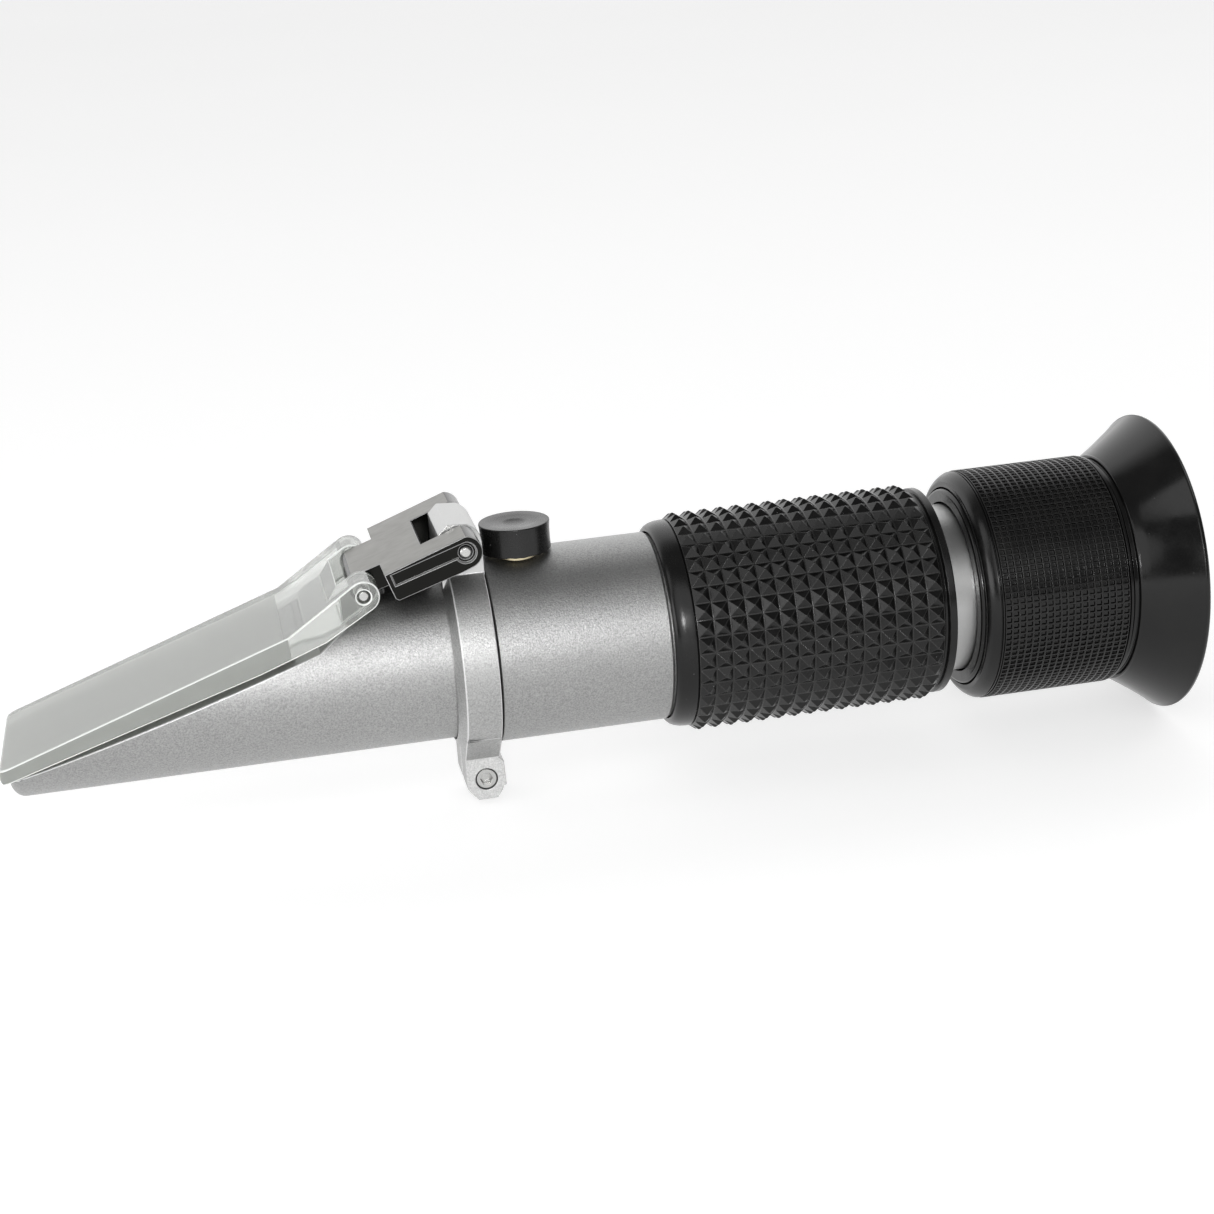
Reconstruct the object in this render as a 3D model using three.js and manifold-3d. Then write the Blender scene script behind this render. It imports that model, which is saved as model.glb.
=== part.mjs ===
// Hand-held refractometer: a slanted prism housing with a hinged daylight plate, a main tube with a
// rubber grip, and a focusing eyepiece with a soft eyecup.
// Units are millimetres. X is the optical axis and points at the eye, Z is up (the hinge side), and
// the origin is on the optical axis, half-way along the instrument.

import * as THREE from 'three';
import { mergeVertices } from 'three/addons/utils/BufferGeometryUtils.js';
import Module from 'manifold-3d';

const wasm = await Module();
wasm.setup();

// ---------------------------------------------------------------- driving dimensions

const GAP = 0.3;                      // clearance between separate pieces
const SIDES = 40;                     // facets round an outer turned piece
const INNER_SIDES = 24;               // facets round a turned piece inside the tube
const SMALL_SIDES = 18;               // facets round a small turned piece

const NOSE_X = -83.05;                // tip of the prism housing
const FRONT_R = 12.1;                 // prism housing, outside
const TUBE_R = 13.5;                  // main tube, outside
const TUBE_BORE = 11.4;
const JOINT_X = -15.75;               // where the main tube begins
const SPIGOT_R = 11.1;                // parts that plug into the main tube
const SPIGOT_END_X = -4.5;

const CUT_SLOPE = 0.3;                // rise per millimetre of the slanted cut in the housing
const CUT_ZERO_X = -59.15;            // where the slanted cut crosses the optical axis
const PRISM_PROUD = 0.35;             // height of the prism face above the cut
const PRISM_HALF_WIDTH = 6.5;
const SEAL_WIDTH = 0.8;

const RING_X0 = -22.0;                // clamp ring
const RING_CONE = 1.1;                // its front face slopes back by this much
const RING_X1 = -16.05;
const RING_R = 14.2;
const KEEL_HALF_WIDTH = 5.3;          // the ring thickens below, where it meets the ears
const KEEL_Z = -14.7;
const EAR_X0 = -21.0;
const EAR_X1 = -15.4;
const EAR_BOTTOM_Z = -20.95;
const EAR_HALF_DEPTH = KEEL_HALF_WIDTH;
const SPLIT_HALF_WIDTH = 0.5;
const CLAMP_SCREW = { x: -18.2, z: -17.9 };
const CLAMP_SHANK_R = 0.8;
const CLAMP_HEAD_R = 1.45;
const CLAMP_HEAD_LENGTH = 1.7;
const PIN_PLAY = 0.15;                // round a pin or a screw in its hole

const REAR_PIN = { x: -18.9, z: 17.8 };
const FRONT_PIN = { x: -33.15, z: 13.3 };
const PIN_R = 0.8;
const PIN_HOLE_R = PIN_R + PIN_PLAY;
const LUG_HALF_WIDTH = 5.9;
const TONGUE_HALF_WIDTH = 6.2;
const LINK_HALF_WIDTH = 12.0;
const PLATE_HALF_WIDTH = 11.8;
const EAR_R = 2.2;

const CAP_X = -10.5;                  // calibration screw and its rubber cap
const CAP_R = 5.0;
const CAP_TOP_Z = 18.0;
const CAP_BOTTOM_Z = 13.9;
const BUSH_R = 2.4;
const BUSH_FLANGE_R = 3.9;
const BUSH_FLANGE_Z = 14.3;
const BUSH_COLLAR_R = 3.1;
const BUSH_TOP_Z = 15.2;

const GRIP_X0 = 8.6;
const GRIP_X1 = 49.0;
const GRIP_SEAT_R = 13.2;
const GRIP_R = 15.65;
const GRIP_FACE_R = 13.9;             // front face of the grip, and the plain collar behind it
const GRIP_COLLAR_R = 14.9;
const GRIP_LIP_R = 15.0;              // plain lip at the rear of the grip

const BARREL_R = 12.2;                // eyepiece barrel
const BARREL_BORE = 10.2;
const BARREL_X0 = 38.3;
const BARREL_END_X = 66.8;
const O_RING_X = 62.4;
const O_RING_SECTION_R = 0.5;
const CELL_R = 9.9;                   // lens cell, sliding in the barrel
const CELL_X0 = 52.4;
const CELL_X1 = 74.6;
const CELL_BORE = 8.8;
const GUIDE_PIN_X = 57.9;
const KEYWAY_HALF_LENGTH = 3.6;
const FLANGE_X0 = 71.4;               // flange of the cell, held between the sleeve and the eyecup
const FLANGE_X1 = 72.8;
const FLANGE_R = 11.8;
const SLEEVE_X0 = 52.7;               // focusing sleeve
const SLEEVE_R = 14.4;
const SLEEVE_STEP_X = 69.6;
const SLEEVE_COUNTERBORE = 13.4;
const FOCUS_X0 = 53.2;                // knurled ring round the sleeve
const FOCUS_X1 = 74.6;
const FOCUS_R = 16.8;
const NECK_X0 = 74.9;                 // eyecup: a narrow neck, then the flare
const NECK_R = 16.1;
const FLARE_X0 = 75.8;
const FLARE_R = 16.7;
const RIM_X = 83.9;
const RIM_R = 21.8;

// ---------------------------------------------------------------- materials

function finish(color, roughness, metalness, opacity = 1) {
  return new THREE.MeshStandardMaterial({ color, roughness, metalness, opacity, transparent: opacity < 1 });
}

const satinAluminium = finish(0xb4b5b3, 0.42, 0.9);
const brightAluminium = finish(0xc9cac8, 0.35, 0.9);
const blackRubber = finish(0x171716, 0.5, 0);
const blackAnodised = finish(0x1d1d1c, 0.45, 0.5);
const blackChrome = finish(0x4a4a48, 0.2, 1);
const steel = finish(0xb9bab9, 0.25, 1);
const brass = finish(0xb89a52, 0.35, 1);
const acrylic = finish(0xd3d8d2, 0.12, 0, 0.45);
const glass = finish(0xdfeaea, 0.03, 0, 0.35);
const sealRubber = finish(0x222221, 0.7, 0);
const springSteel = finish(0x9a9a98, 0.3, 1);

// ---------------------------------------------------------------- solids

// Leaves a geometry with positions only, shared vertices and no zero-size triangles.
function clean(geometry) {
  const bare = geometry.clone();
  bare.deleteAttribute('normal');
  bare.deleteAttribute('uv');
  const merged = mergeVertices(bare, 1e-4);
  const index = merged.index.array;
  const kept = [];
  for (let i = 0; i < index.length; i += 3) {
    const [a, b, c] = [index[i], index[i + 1], index[i + 2]];
    if (a !== b && b !== c && c !== a) kept.push(a, b, c);
  }
  merged.setIndex(kept);
  return merged;
}

function toManifold(geometry) {
  const closed = clean(geometry);
  return new wasm.Manifold(new wasm.Mesh({
    numProp: 3,
    vertProperties: new Float32Array(closed.attributes.position.array),
    triVerts: new Uint32Array(closed.index.array),
  }));
}

function toGeometry(manifold) {
  const mesh = manifold.getMesh();
  const geometry = new THREE.BufferGeometry();
  geometry.setAttribute('position', new THREE.BufferAttribute(new Float32Array(mesh.vertProperties), 3));
  geometry.setIndex(new THREE.BufferAttribute(new Uint32Array(mesh.triVerts), 1));
  return geometry;
}

function cut(base, ...tools) {
  return toGeometry(tools.reduce((body, tool) => body.subtract(toManifold(tool)), toManifold(base)));
}

function join(base, ...others) {
  return toGeometry(others.reduce((body, other) => body.add(toManifold(other)), toManifold(base)));
}

// Points [x, r] turned about the optical axis. The outline runs towards +X on the outside.
function turned(outline, sides = SIDES) {
  const points = outline.map(([x, r]) => new THREE.Vector2(r, x));
  const geometry = new THREE.LatheGeometry(points, sides);
  geometry.rotateZ(-Math.PI / 2);
  return geometry;
}

// A ring or tube between two stations, from its bore to its outside.
function tube(x0, x1, bore, radius, sides = INNER_SIDES) {
  return turned([[x0, bore], [x0, radius], [x1, radius], [x1, bore], [x0, bore]], sides);
}

function disc(x0, x1, radius, sides = SIDES) {
  return turned([[x0, 0], [x0, radius], [x1, radius], [x1, 0]], sides);
}

// A biconvex lens, `edge` thick at its rim, each face bulging by `bulge`.
function lens(x0, edge, bulge, radius) {
  const steps = 3;
  const outline = [];
  for (let i = 0; i <= steps; i++) {
    const r = radius * i / steps;
    outline.push([x0 - bulge * (1 - (r / radius) ** 2), r]);
  }
  for (let i = steps; i >= 0; i--) {
    const r = radius * i / steps;
    outline.push([x0 + edge + bulge * (1 - (r / radius) ** 2), r]);
  }
  return turned(outline, SMALL_SIDES);
}

// Points of an arc in a side view, angles in degrees from +X towards +Z.
function arc(centre, radius, from, to, steps) {
  const points = [];
  for (let i = 0; i <= steps; i++) {
    const angle = THREE.MathUtils.degToRad(from + (to - from) * i / steps);
    points.push([centre.x + radius * Math.cos(angle), centre.z + radius * Math.sin(angle)]);
  }
  return points;
}

// A side-view outline of points [x, z], extruded across the instrument from y0 to y1.
function slab(outline, y0, y1) {
  const shape = new THREE.Shape(outline.map(([x, z]) => new THREE.Vector2(x, z)));
  const geometry = new THREE.ExtrudeGeometry(shape, { depth: y1 - y0, bevelEnabled: false });
  geometry.rotateX(Math.PI / 2);
  geometry.translate(0, y1, 0);
  return geometry;
}

// An outline of points [y, z], seen from the front, extruded along the axis from x0 to x1.
function crossSlab(outline, x0, x1) {
  const shape = new THREE.Shape(outline.map(([y, z]) => new THREE.Vector2(y, z)));
  const geometry = new THREE.ExtrudeGeometry(shape, { depth: x1 - x0, bevelEnabled: false });
  geometry.applyMatrix4(new THREE.Matrix4().set(0, 0, 1, x0, 1, 0, 0, 0, 0, 1, 0, 0, 0, 0, 0, 1));
  return geometry;
}

function block(x0, x1, y0, y1, z0, z1) {
  const geometry = new THREE.BoxGeometry(x1 - x0, y1 - y0, z1 - z0);
  geometry.translate((x0 + x1) / 2, (y0 + y1) / 2, (z0 + z1) / 2);
  return geometry;
}

// A rod across the instrument, centred at (x, z).
function crossRod(centre, radius, y0, y1, sides = 16) {
  const geometry = new THREE.CylinderGeometry(radius, radius, y1 - y0, sides);
  geometry.translate(centre.x, (y0 + y1) / 2, centre.z);
  return geometry;
}

// A vertical rod centred at x on the optical axis.
function uprightRod(x, radius, z0, z1, sides = SMALL_SIDES) {
  const geometry = new THREE.CylinderGeometry(radius, radius, z1 - z0, sides);
  geometry.rotateX(Math.PI / 2);
  geometry.translate(x, 0, (z0 + z1) / 2);
  return geometry;
}

// ---------------------------------------------------------------- the model

const refractometer = new THREE.Group();

function add(name, geometry, material) {
  const mesh = new THREE.Mesh(geometry, material);
  mesh.name = name;
  refractometer.add(mesh);
}

function cutHeight(x) {
  return CUT_SLOPE * (x - CUT_ZERO_X);
}

// ---- prism housing: round, cut on a slant, with a pocket for the prism and a bore behind it

const POCKET_X0 = -78.1;
const POCKET_X1 = -41.4;
const CUT_BEND_X = -39.7;             // here the slant steepens, to follow the ears of the plate
const CUT_END_X = -33.6;
const CUT_END_Z = 9.9;
const SADDLE_END_X = -30.0;           // a low flat under the hinge tongue
const SADDLE_Z = 11.2;

function slantTool() {
  const above = 30;
  return slab([
    [NOSE_X - 5, cutHeight(NOSE_X - 5)],
    [CUT_BEND_X, cutHeight(CUT_BEND_X)],
    [CUT_END_X, CUT_END_Z],
    [CUT_END_X, SADDLE_Z],
    [SADDLE_END_X, SADDLE_Z],
    [SADDLE_END_X, above],
    [NOSE_X - 5, above],
  ], -above, above);
}

function pocketTool(grow, depth, halfWidth) {
  const x0 = POCKET_X0 - grow;
  const x1 = POCKET_X1 + grow;
  const lift = 4;
  return slab([
    [x0, cutHeight(x0) - depth],
    [x1, cutHeight(x1) - depth],
    [x1, cutHeight(x1) + lift],
    [x0, cutHeight(x0) + lift],
  ], -halfWidth, halfWidth);
}

const PRISM_BOTTOM_Z = -7.9;

function prismOutline(grow) {
  return [
    [POCKET_X0 - grow, PRISM_BOTTOM_Z - grow],
    [POCKET_X1 + grow, PRISM_BOTTOM_Z - grow],
    [POCKET_X1 + grow, cutHeight(POCKET_X1) + PRISM_PROUD],
    [POCKET_X0 - grow, cutHeight(POCKET_X0 - grow) + PRISM_PROUD],
  ];
}

const SEAL_DEPTH = 2;
const LIGHT_BORE = 6.6;
const OBJECTIVE_BORE = 9.6;

function prismHousing() {
  const noseRound = arc({ x: NOSE_X + 1.8, z: FRONT_R - 1.8 }, 1.8, 180, 90, 5);
  const body = turned([
    [NOSE_X, 0],
    ...noseRound,
    [JOINT_X - GAP, FRONT_R],
    [JOINT_X - GAP, SPIGOT_R],
    [SPIGOT_END_X, SPIGOT_R],
    [SPIGOT_END_X, 0],
  ]);
  const prismPocket = slab(prismOutline(GAP), -PRISM_HALF_WIDTH - GAP, PRISM_HALF_WIDTH + GAP);
  const sealRoom = SEAL_WIDTH + 2 * GAP;
  const sealPocket = pocketTool(sealRoom, SEAL_DEPTH + GAP, PRISM_HALF_WIDTH + sealRoom);
  const lightBore = disc(POCKET_X1 - 2, SPIGOT_END_X + 1, LIGHT_BORE, SMALL_SIDES);
  const objectiveBore = disc(-25, SPIGOT_END_X + 1, OBJECTIVE_BORE, INNER_SIDES);
  const bushHole = uprightRod(CAP_X, BUSH_R + GAP, 0, 20);
  return cut(body, slantTool(), prismPocket, sealPocket, lightBore, objectiveBore, bushHole);
}

function prismSeal() {
  const outer = PRISM_HALF_WIDTH + GAP + SEAL_WIDTH;
  const frame = pocketTool(GAP + SEAL_WIDTH, SEAL_DEPTH, outer);
  const overhead = slab([
    [POCKET_X0 - 5, cutHeight(POCKET_X0 - 5)],
    [POCKET_X1 + 5, cutHeight(POCKET_X1 + 5)],
    [POCKET_X1 + 5, 20],
    [POCKET_X0 - 5, 20],
  ], -20, 20);
  return cut(frame, pocketTool(GAP, SEAL_DEPTH + 1, PRISM_HALF_WIDTH + GAP), overhead);
}

// ---- main tube

function mainTube() {
  const x1 = GRIP_X1 - 0.2;
  const body = turned([
    [JOINT_X, TUBE_BORE],
    [JOINT_X, TUBE_R - 0.3],
    [JOINT_X + 0.3, TUBE_R],
    [GRIP_X0 - GAP, TUBE_R],
    [GRIP_X0 - GAP, GRIP_SEAT_R],
    [x1, GRIP_SEAT_R],
    [x1, TUBE_BORE],
    [JOINT_X, TUBE_BORE],
  ]);
  return cut(body, uprightRod(CAP_X, BUSH_R + GAP, 5, 20));
}

// ---- clamp ring: split ring with two ears below and the hinge lug on top

const LUG_X0 = -21.85;
const LUG_BACK_R = 3.0;

// Below, the ring leaves its round outline along two flats that run down to the ears.
function keel() {
  const reach = Math.hypot(KEEL_HALF_WIDTH, KEEL_Z);
  const angle = Math.atan2(KEEL_HALF_WIDTH, -KEEL_Z) + Math.acos(RING_R / reach);
  const y = RING_R * Math.sin(angle);
  const z = -RING_R * Math.cos(angle);
  return crossSlab([
    [-y, z],
    [-KEEL_HALF_WIDTH, KEEL_Z],
    [KEEL_HALF_WIDTH, KEEL_Z],
    [y, z],
  ], RING_X0 + RING_CONE, RING_X1);
}

function clampEars() {
  const chamfer = 1.4;
  const rise = 1.75;
  return slab([
    [EAR_X0, -FRONT_R],
    [EAR_X0, EAR_BOTTOM_Z + rise],
    [EAR_X0 + chamfer, EAR_BOTTOM_Z],
    [EAR_X1 - chamfer, EAR_BOTTOM_Z],
    [EAR_X1 - 0.6, EAR_BOTTOM_Z + rise - 0.6],
    [EAR_X1 - 0.4, EAR_BOTTOM_Z + rise],
    [EAR_X1, EAR_BOTTOM_Z + rise],
    [EAR_X1 - 0.1, KEEL_Z - 0.8],
    [RING_X1 - GAP, KEEL_Z + 0.1],
    [RING_X1 - GAP, -FRONT_R],
  ], -EAR_HALF_DEPTH, EAR_HALF_DEPTH);
}

function hingeLug() {
  const foot = FRONT_R - 1;
  return slab([
    [LUG_X0, foot],
    [REAR_PIN.x + LUG_BACK_R, foot],
    ...arc({ x: REAR_PIN.x, z: REAR_PIN.z - 0.6 }, LUG_BACK_R, 0, 70, 7),
    [REAR_PIN.x - 1.65, 20.2],
    [LUG_X0, 18.9],
  ], -LUG_HALF_WIDTH, LUG_HALF_WIDTH);
}

function clampRing() {
  const bore = FRONT_R + GAP;
  const ring = turned([
    [RING_X0, bore],
    [RING_X0 + RING_CONE, RING_R],
    [RING_X1 - 0.3, RING_R],
    [RING_X1, RING_R - 0.3],
    [RING_X1, bore],
    [RING_X0, bore],
  ]);
  const boreTool = disc(RING_X0 - 5, RING_X1 + 5, bore);
  const backTool = turned([
    [JOINT_X - GAP, TUBE_R - 4],
    [JOINT_X - GAP, TUBE_R + GAP],
    [0, TUBE_R + GAP],
    [0, TUBE_R - 4],
    [JOINT_X - GAP, TUBE_R - 4],
  ]);
  const split = block(RING_X0 - 1, EAR_X1 + 1, -SPLIT_HALF_WIDTH, SPLIT_HALF_WIDTH, EAR_BOTTOM_Z - 1, 0);
  const pinHole = crossRod(REAR_PIN, PIN_HOLE_R, -10, 10);
  const threadEnd = EAR_HALF_DEPTH - 1;
  const screwHole = crossRod(CLAMP_SCREW, CLAMP_SHANK_R + PIN_PLAY, -10, threadEnd);
  const headSeat = -EAR_HALF_DEPTH + CLAMP_HEAD_LENGTH + GAP;
  const headHole = crossRod(CLAMP_SCREW, CLAMP_HEAD_R + PIN_PLAY, -10, headSeat, 20);
  const body = join(ring, keel(), clampEars(), hingeLug());
  return cut(body, boreTool, backTool, split, pinHole, screwHole, headHole);
}

function clampScrew() {
  const headFace = -EAR_HALF_DEPTH + 0.2;
  const headBase = -EAR_HALF_DEPTH + CLAMP_HEAD_LENGTH;
  const head = crossRod(CLAMP_SCREW, CLAMP_HEAD_R, headFace, headBase, 20);
  const shank = crossRod(CLAMP_SCREW, CLAMP_SHANK_R, headBase - 0.5, EAR_HALF_DEPTH - 1 - GAP);
  const socket = crossRod(CLAMP_SCREW, 0.85, headFace - 1, headFace + 0.9, 6);
  return cut(join(head, shank), socket);
}

// ---- hinge link: swings on the rear pin and carries the daylight plate on the front pin

const LINK_SLOPE = (REAR_PIN.z - FRONT_PIN.z) / (REAR_PIN.x - FRONT_PIN.x);
const LINK_ANGLE = THREE.MathUtils.radToDeg(Math.atan(LINK_SLOPE));
const LINK_LENGTH = Math.hypot(REAR_PIN.x - FRONT_PIN.x, REAR_PIN.z - FRONT_PIN.z);

// A point given along the link from the front pin and above the line of the pins.
function onLink(along, above) {
  const angle = Math.atan(LINK_SLOPE);
  return [
    FRONT_PIN.x + along * Math.cos(angle) - above * Math.sin(angle),
    FRONT_PIN.z + along * Math.sin(angle) + above * Math.cos(angle),
  ];
}

const SHOULDER = 3.7;                 // from the front pin to the shoulders of the link
const SLOT_FRONT = 9.8;               // from the front pin to the front wall of the slot
const LINK_TOP_FRONT = 1.7;
const LINK_TOP_REAR = 2.1;
const LINK_BOTTOM = -2.4;
const LINK_CEILING = -0.9;            // underside of the top wall
const ARM_INSIDE_Y = 9.6;
const RIB_OUTSIDE_Y = 7.4;
const LINK_REAR_R = 2.3;

function linkSideOutline(bottom) {
  const rearRound = arc(REAR_PIN, LINK_REAR_R, -90 + LINK_ANGLE, 70 + LINK_ANGLE, 9);
  return [
    onLink(SHOULDER, LINK_TOP_FRONT),
    onLink(SHOULDER + 0.1, bottom),
    onLink(LINK_LENGTH - 1.5, bottom),
    ...rearRound,
    onLink(LINK_LENGTH - 0.4, LINK_TOP_REAR),
  ];
}

// Room under the link: across its front, and beside the slot, where a rib is left on each side.
function linkHollows() {
  const hollow = (start, end, y0, y1) => slab([
    onLink(start, LINK_BOTTOM - 2),
    onLink(end, LINK_BOTTOM - 2),
    onLink(end, LINK_CEILING),
    onLink(start, LINK_CEILING),
  ], y0, y1);
  const rear = LINK_LENGTH + 6;
  return [
    hollow(SHOULDER - 1, SLOT_FRONT - 1, -ARM_INSIDE_Y, ARM_INSIDE_Y),
    hollow(SLOT_FRONT - 2, rear, -ARM_INSIDE_Y, -RIB_OUTSIDE_Y),
    hollow(SLOT_FRONT - 2, rear, RIB_OUTSIDE_Y, ARM_INSIDE_Y),
  ];
}

function hingeLink() {
  const tongueRound = arc(FRONT_PIN, LINK_TOP_FRONT, 90 + LINK_ANGLE, 270 + LINK_ANGLE, 10);
  const tongue = slab([
    ...tongueRound,
    onLink(SHOULDER + 2, -LINK_TOP_FRONT),
    onLink(SHOULDER + 2, LINK_TOP_FRONT),
  ], -TONGUE_HALF_WIDTH, TONGUE_HALF_WIDTH);
  const side = slab(linkSideOutline(LINK_BOTTOM), -LINK_HALF_WIDTH, LINK_HALF_WIDTH);
  const slot = slab([
    onLink(SLOT_FRONT, -6),
    onLink(LINK_LENGTH + 8, -6),
    onLink(LINK_LENGTH + 8, 6),
    onLink(SLOT_FRONT, 6),
  ], -LUG_HALF_WIDTH - GAP, LUG_HALF_WIDTH + GAP);
  const panel = [
    onLink(SHOULDER + 0.8, -0.3),
    onLink(LINK_LENGTH - 1.3, -0.3),
    ...arc(REAR_PIN, 1.45, 200 + LINK_ANGLE, 430 + LINK_ANGLE, 9),
    onLink(SHOULDER + 0.8, 1.3),
  ];
  const recess = 0.45;
  const nearPanel = slab(panel, -LINK_HALF_WIDTH - 1, -LINK_HALF_WIDTH + recess);
  const farPanel = slab(panel, LINK_HALF_WIDTH - recess, LINK_HALF_WIDTH + 1);
  const rearHole = crossRod(REAR_PIN, PIN_HOLE_R, -15, 15);
  const frontHole = crossRod(FRONT_PIN, PIN_HOLE_R, -15, 15);
  const arms = cut(side, ...linkHollows());
  return cut(join(arms, tongue), slot, nearPanel, farPanel, rearHole, frontHole);
}

// ---- daylight plate: a tapered clear plate that turns up into two ears round the front pin

const PLATE_NOSE = [[-83.5, -6.72], [-83.9, -6.3], [-83.9, -4.95], [-83.55, -4.6]];
const PLATE_BEND_TOP = [-43.75, 9.0];
const PLATE_BEND_BOTTOM = [[-48.0, 4.15], [-38.75, 7.5]];
const WEB_END_X = -36.3;

function daylightPlate() {
  const outline = [
    ...PLATE_NOSE.slice(0, 1),
    ...PLATE_BEND_BOTTOM,
    ...arc(FRONT_PIN, EAR_R, -58, 122, 12),
    PLATE_BEND_TOP,
    ...PLATE_NOSE.slice(1).reverse(),
  ];
  const body = slab(outline, -PLATE_HALF_WIDTH, PLATE_HALF_WIDTH);
  const earGap = block(WEB_END_X, 0, -TONGUE_HALF_WIDTH - GAP, TONGUE_HALF_WIDTH + GAP, 0, 25);
  const corner = 1.2;
  const cornerTools = [-1, 1].map((side) => {
    const tool = new THREE.CylinderGeometry(corner, corner, 20, 4);
    tool.rotateX(Math.PI / 2);
    tool.translate(PLATE_NOSE[1][0], side * PLATE_HALF_WIDTH, -5);
    return tool;
  });
  return cut(body, earGap, ...cornerTools, crossRod(FRONT_PIN, PIN_HOLE_R, -15, 15));
}

// ---- calibration: bush, slotted screw, rubber cap, and the objective that the screw shifts

const SCREW_R = 1.35;
const SCREW_TOP_Z = 15.0;
const SCREW_TIP_Z = 8.3;
const HOLDER_X0 = -15.0;
const HOLDER_X1 = -6.4;
const HOLDER_R = 8.7;
const HOLDER_BORE = 6.2;
const OBJECTIVE_R = 6.8;
const OBJECTIVE_X = HOLDER_X0 + 3.4;
const HOLDER_FLAT_Z = -6.9;
const HOLDER_TOP_Z = 8.0;

// The flange sits on the round of the tube, with a collar above it that centres the cap.
function screwBush() {
  const stem = uprightRod(CAP_X, BUSH_R, 10.0, BUSH_TOP_Z - 1);
  const flange = uprightRod(CAP_X, BUSH_FLANGE_R, TUBE_R - 1.5, BUSH_FLANGE_Z, INNER_SIDES);
  const saddle = cut(flange, disc(CAP_X - 8, CAP_X + 8, TUBE_R + GAP));
  const collar = uprightRod(CAP_X, BUSH_COLLAR_R, BUSH_FLANGE_Z - 0.3, BUSH_TOP_Z);
  return cut(join(stem, saddle, collar), uprightRod(CAP_X, SCREW_R + 0.12, 5, 20));
}

function calibrationScrew() {
  const rod = uprightRod(CAP_X, SCREW_R, SCREW_TIP_Z, SCREW_TOP_Z);
  return cut(rod, block(CAP_X - 3, CAP_X + 3, -0.3, 0.3, SCREW_TOP_Z - 0.9, SCREW_TOP_Z + 1));
}

function screwCap() {
  const outline = [
    [0, CAP_BOTTOM_Z], [CAP_R, CAP_BOTTOM_Z], [CAP_R, CAP_TOP_Z - 0.3], [CAP_R - 0.2, CAP_TOP_Z],
    [CAP_R - 1.6, CAP_TOP_Z], [1.8, CAP_TOP_Z - 0.35], [0, CAP_TOP_Z - 0.4],
  ];
  const body = new THREE.LatheGeometry(outline.map(([r, z]) => new THREE.Vector2(r, z)), 32);
  body.rotateX(Math.PI / 2);
  body.translate(CAP_X, 0, 0);
  const skirt = uprightRod(CAP_X, BUSH_FLANGE_R + GAP, 5, BUSH_FLANGE_Z + GAP, INNER_SIDES);
  const socket = uprightRod(CAP_X, BUSH_COLLAR_R + GAP, 5, BUSH_TOP_Z + 3 * GAP);
  return cut(body, skirt, socket);
}

function objectiveHolder() {
  const body = tube(HOLDER_X0, HOLDER_X1, HOLDER_BORE, HOLDER_R);
  const seat = disc(HOLDER_X0 + 2, HOLDER_X1 - 2, HOLDER_BORE + 0.9, INNER_SIDES);
  const lower = block(-30, 0, -20, 20, -20, HOLDER_FLAT_Z);
  const upper = block(-30, 0, -20, 20, HOLDER_TOP_Z, 20);
  return cut(body, seat, lower, upper);
}

function objectiveRetainer() {
  return tube(OBJECTIVE_X - 1.2, OBJECTIVE_X - 0.2, OBJECTIVE_R - 0.9, OBJECTIVE_R, SMALL_SIDES);
}

const STRIP_X0 = HOLDER_X0 + 0.5;
const STRIP_X1 = 9;
const STRIP_THICKNESS = 0.5;
const STRIP_Z1 = HOLDER_FLAT_Z - GAP;
const SPRING_Z0 = -9.1;

function calibrationSpring() {
  const wire = 0.15;
  const radius = 1.3;
  const turns = 3;
  const stepsPerTurn = 10;
  const z0 = SPRING_Z0 + wire;
  const z1 = STRIP_Z1 - STRIP_THICKNESS - 0.1 - wire;
  const points = [];
  for (let i = 0; i <= turns * stepsPerTurn; i++) {
    const angle = 2 * Math.PI * i / stepsPerTurn;
    const z = z0 + (z1 - z0) * i / (turns * stepsPerTurn);
    points.push(new THREE.Vector3(CAP_X + radius * Math.cos(angle), radius * Math.sin(angle), z));
  }
  const section = new THREE.Shape();
  section.absarc(0, 0, wire, 0, 2 * Math.PI);
  return new THREE.ExtrudeGeometry(section, {
    steps: turns * stepsPerTurn,
    curveSegments: 3,
    bevelEnabled: false,
    extrudePath: new THREE.CatmullRomCurve3(points),
  });
}

// ---- field stop and reticle, fixed in the main tube in front of the eyepiece

const FIELD_STOP_X = 19;
const RETICLE_R = 9.7;
const RETICLE_THICKNESS = 1.5;
const RETICLE_X = 33.3;
const CLIP_X = RETICLE_X + RETICLE_THICKNESS + GAP;

function reticleRing() {
  const x0 = RETICLE_X - GAP - 1.5;
  const x1 = x0 + 5.0;
  return turned([
    [x0, RETICLE_R - 0.7],
    [x0, SPIGOT_R],
    [x1, SPIGOT_R],
    [x1, RETICLE_R + GAP],
    [RETICLE_X - GAP, RETICLE_R + GAP],
    [RETICLE_X - GAP, RETICLE_R - 0.7],
    [x0, RETICLE_R - 0.7],
  ], INNER_SIDES);
}

// ---- grip: sleeve with rounded lips; the tips of its raised studs reach GRIP_R

function rubberGrip() {
  const bore = TUBE_R;
  return turned([
    [GRIP_X0, bore],
    [GRIP_X0, GRIP_FACE_R],
    [GRIP_X0 + 1.0, GRIP_COLLAR_R - 0.2],
    [GRIP_X0 + 3.0, GRIP_COLLAR_R],
    [GRIP_X0 + 3.8, GRIP_R],
    [GRIP_X1 - 1.9, GRIP_R],
    [GRIP_X1 - 1.3, GRIP_LIP_R],
    [GRIP_X1 - 0.1, GRIP_LIP_R],
    [GRIP_X1, GRIP_LIP_R - 0.2],
    [GRIP_X1, bore],
    [GRIP_X0, bore],
  ]);
}

// ---- eyepiece

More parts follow.
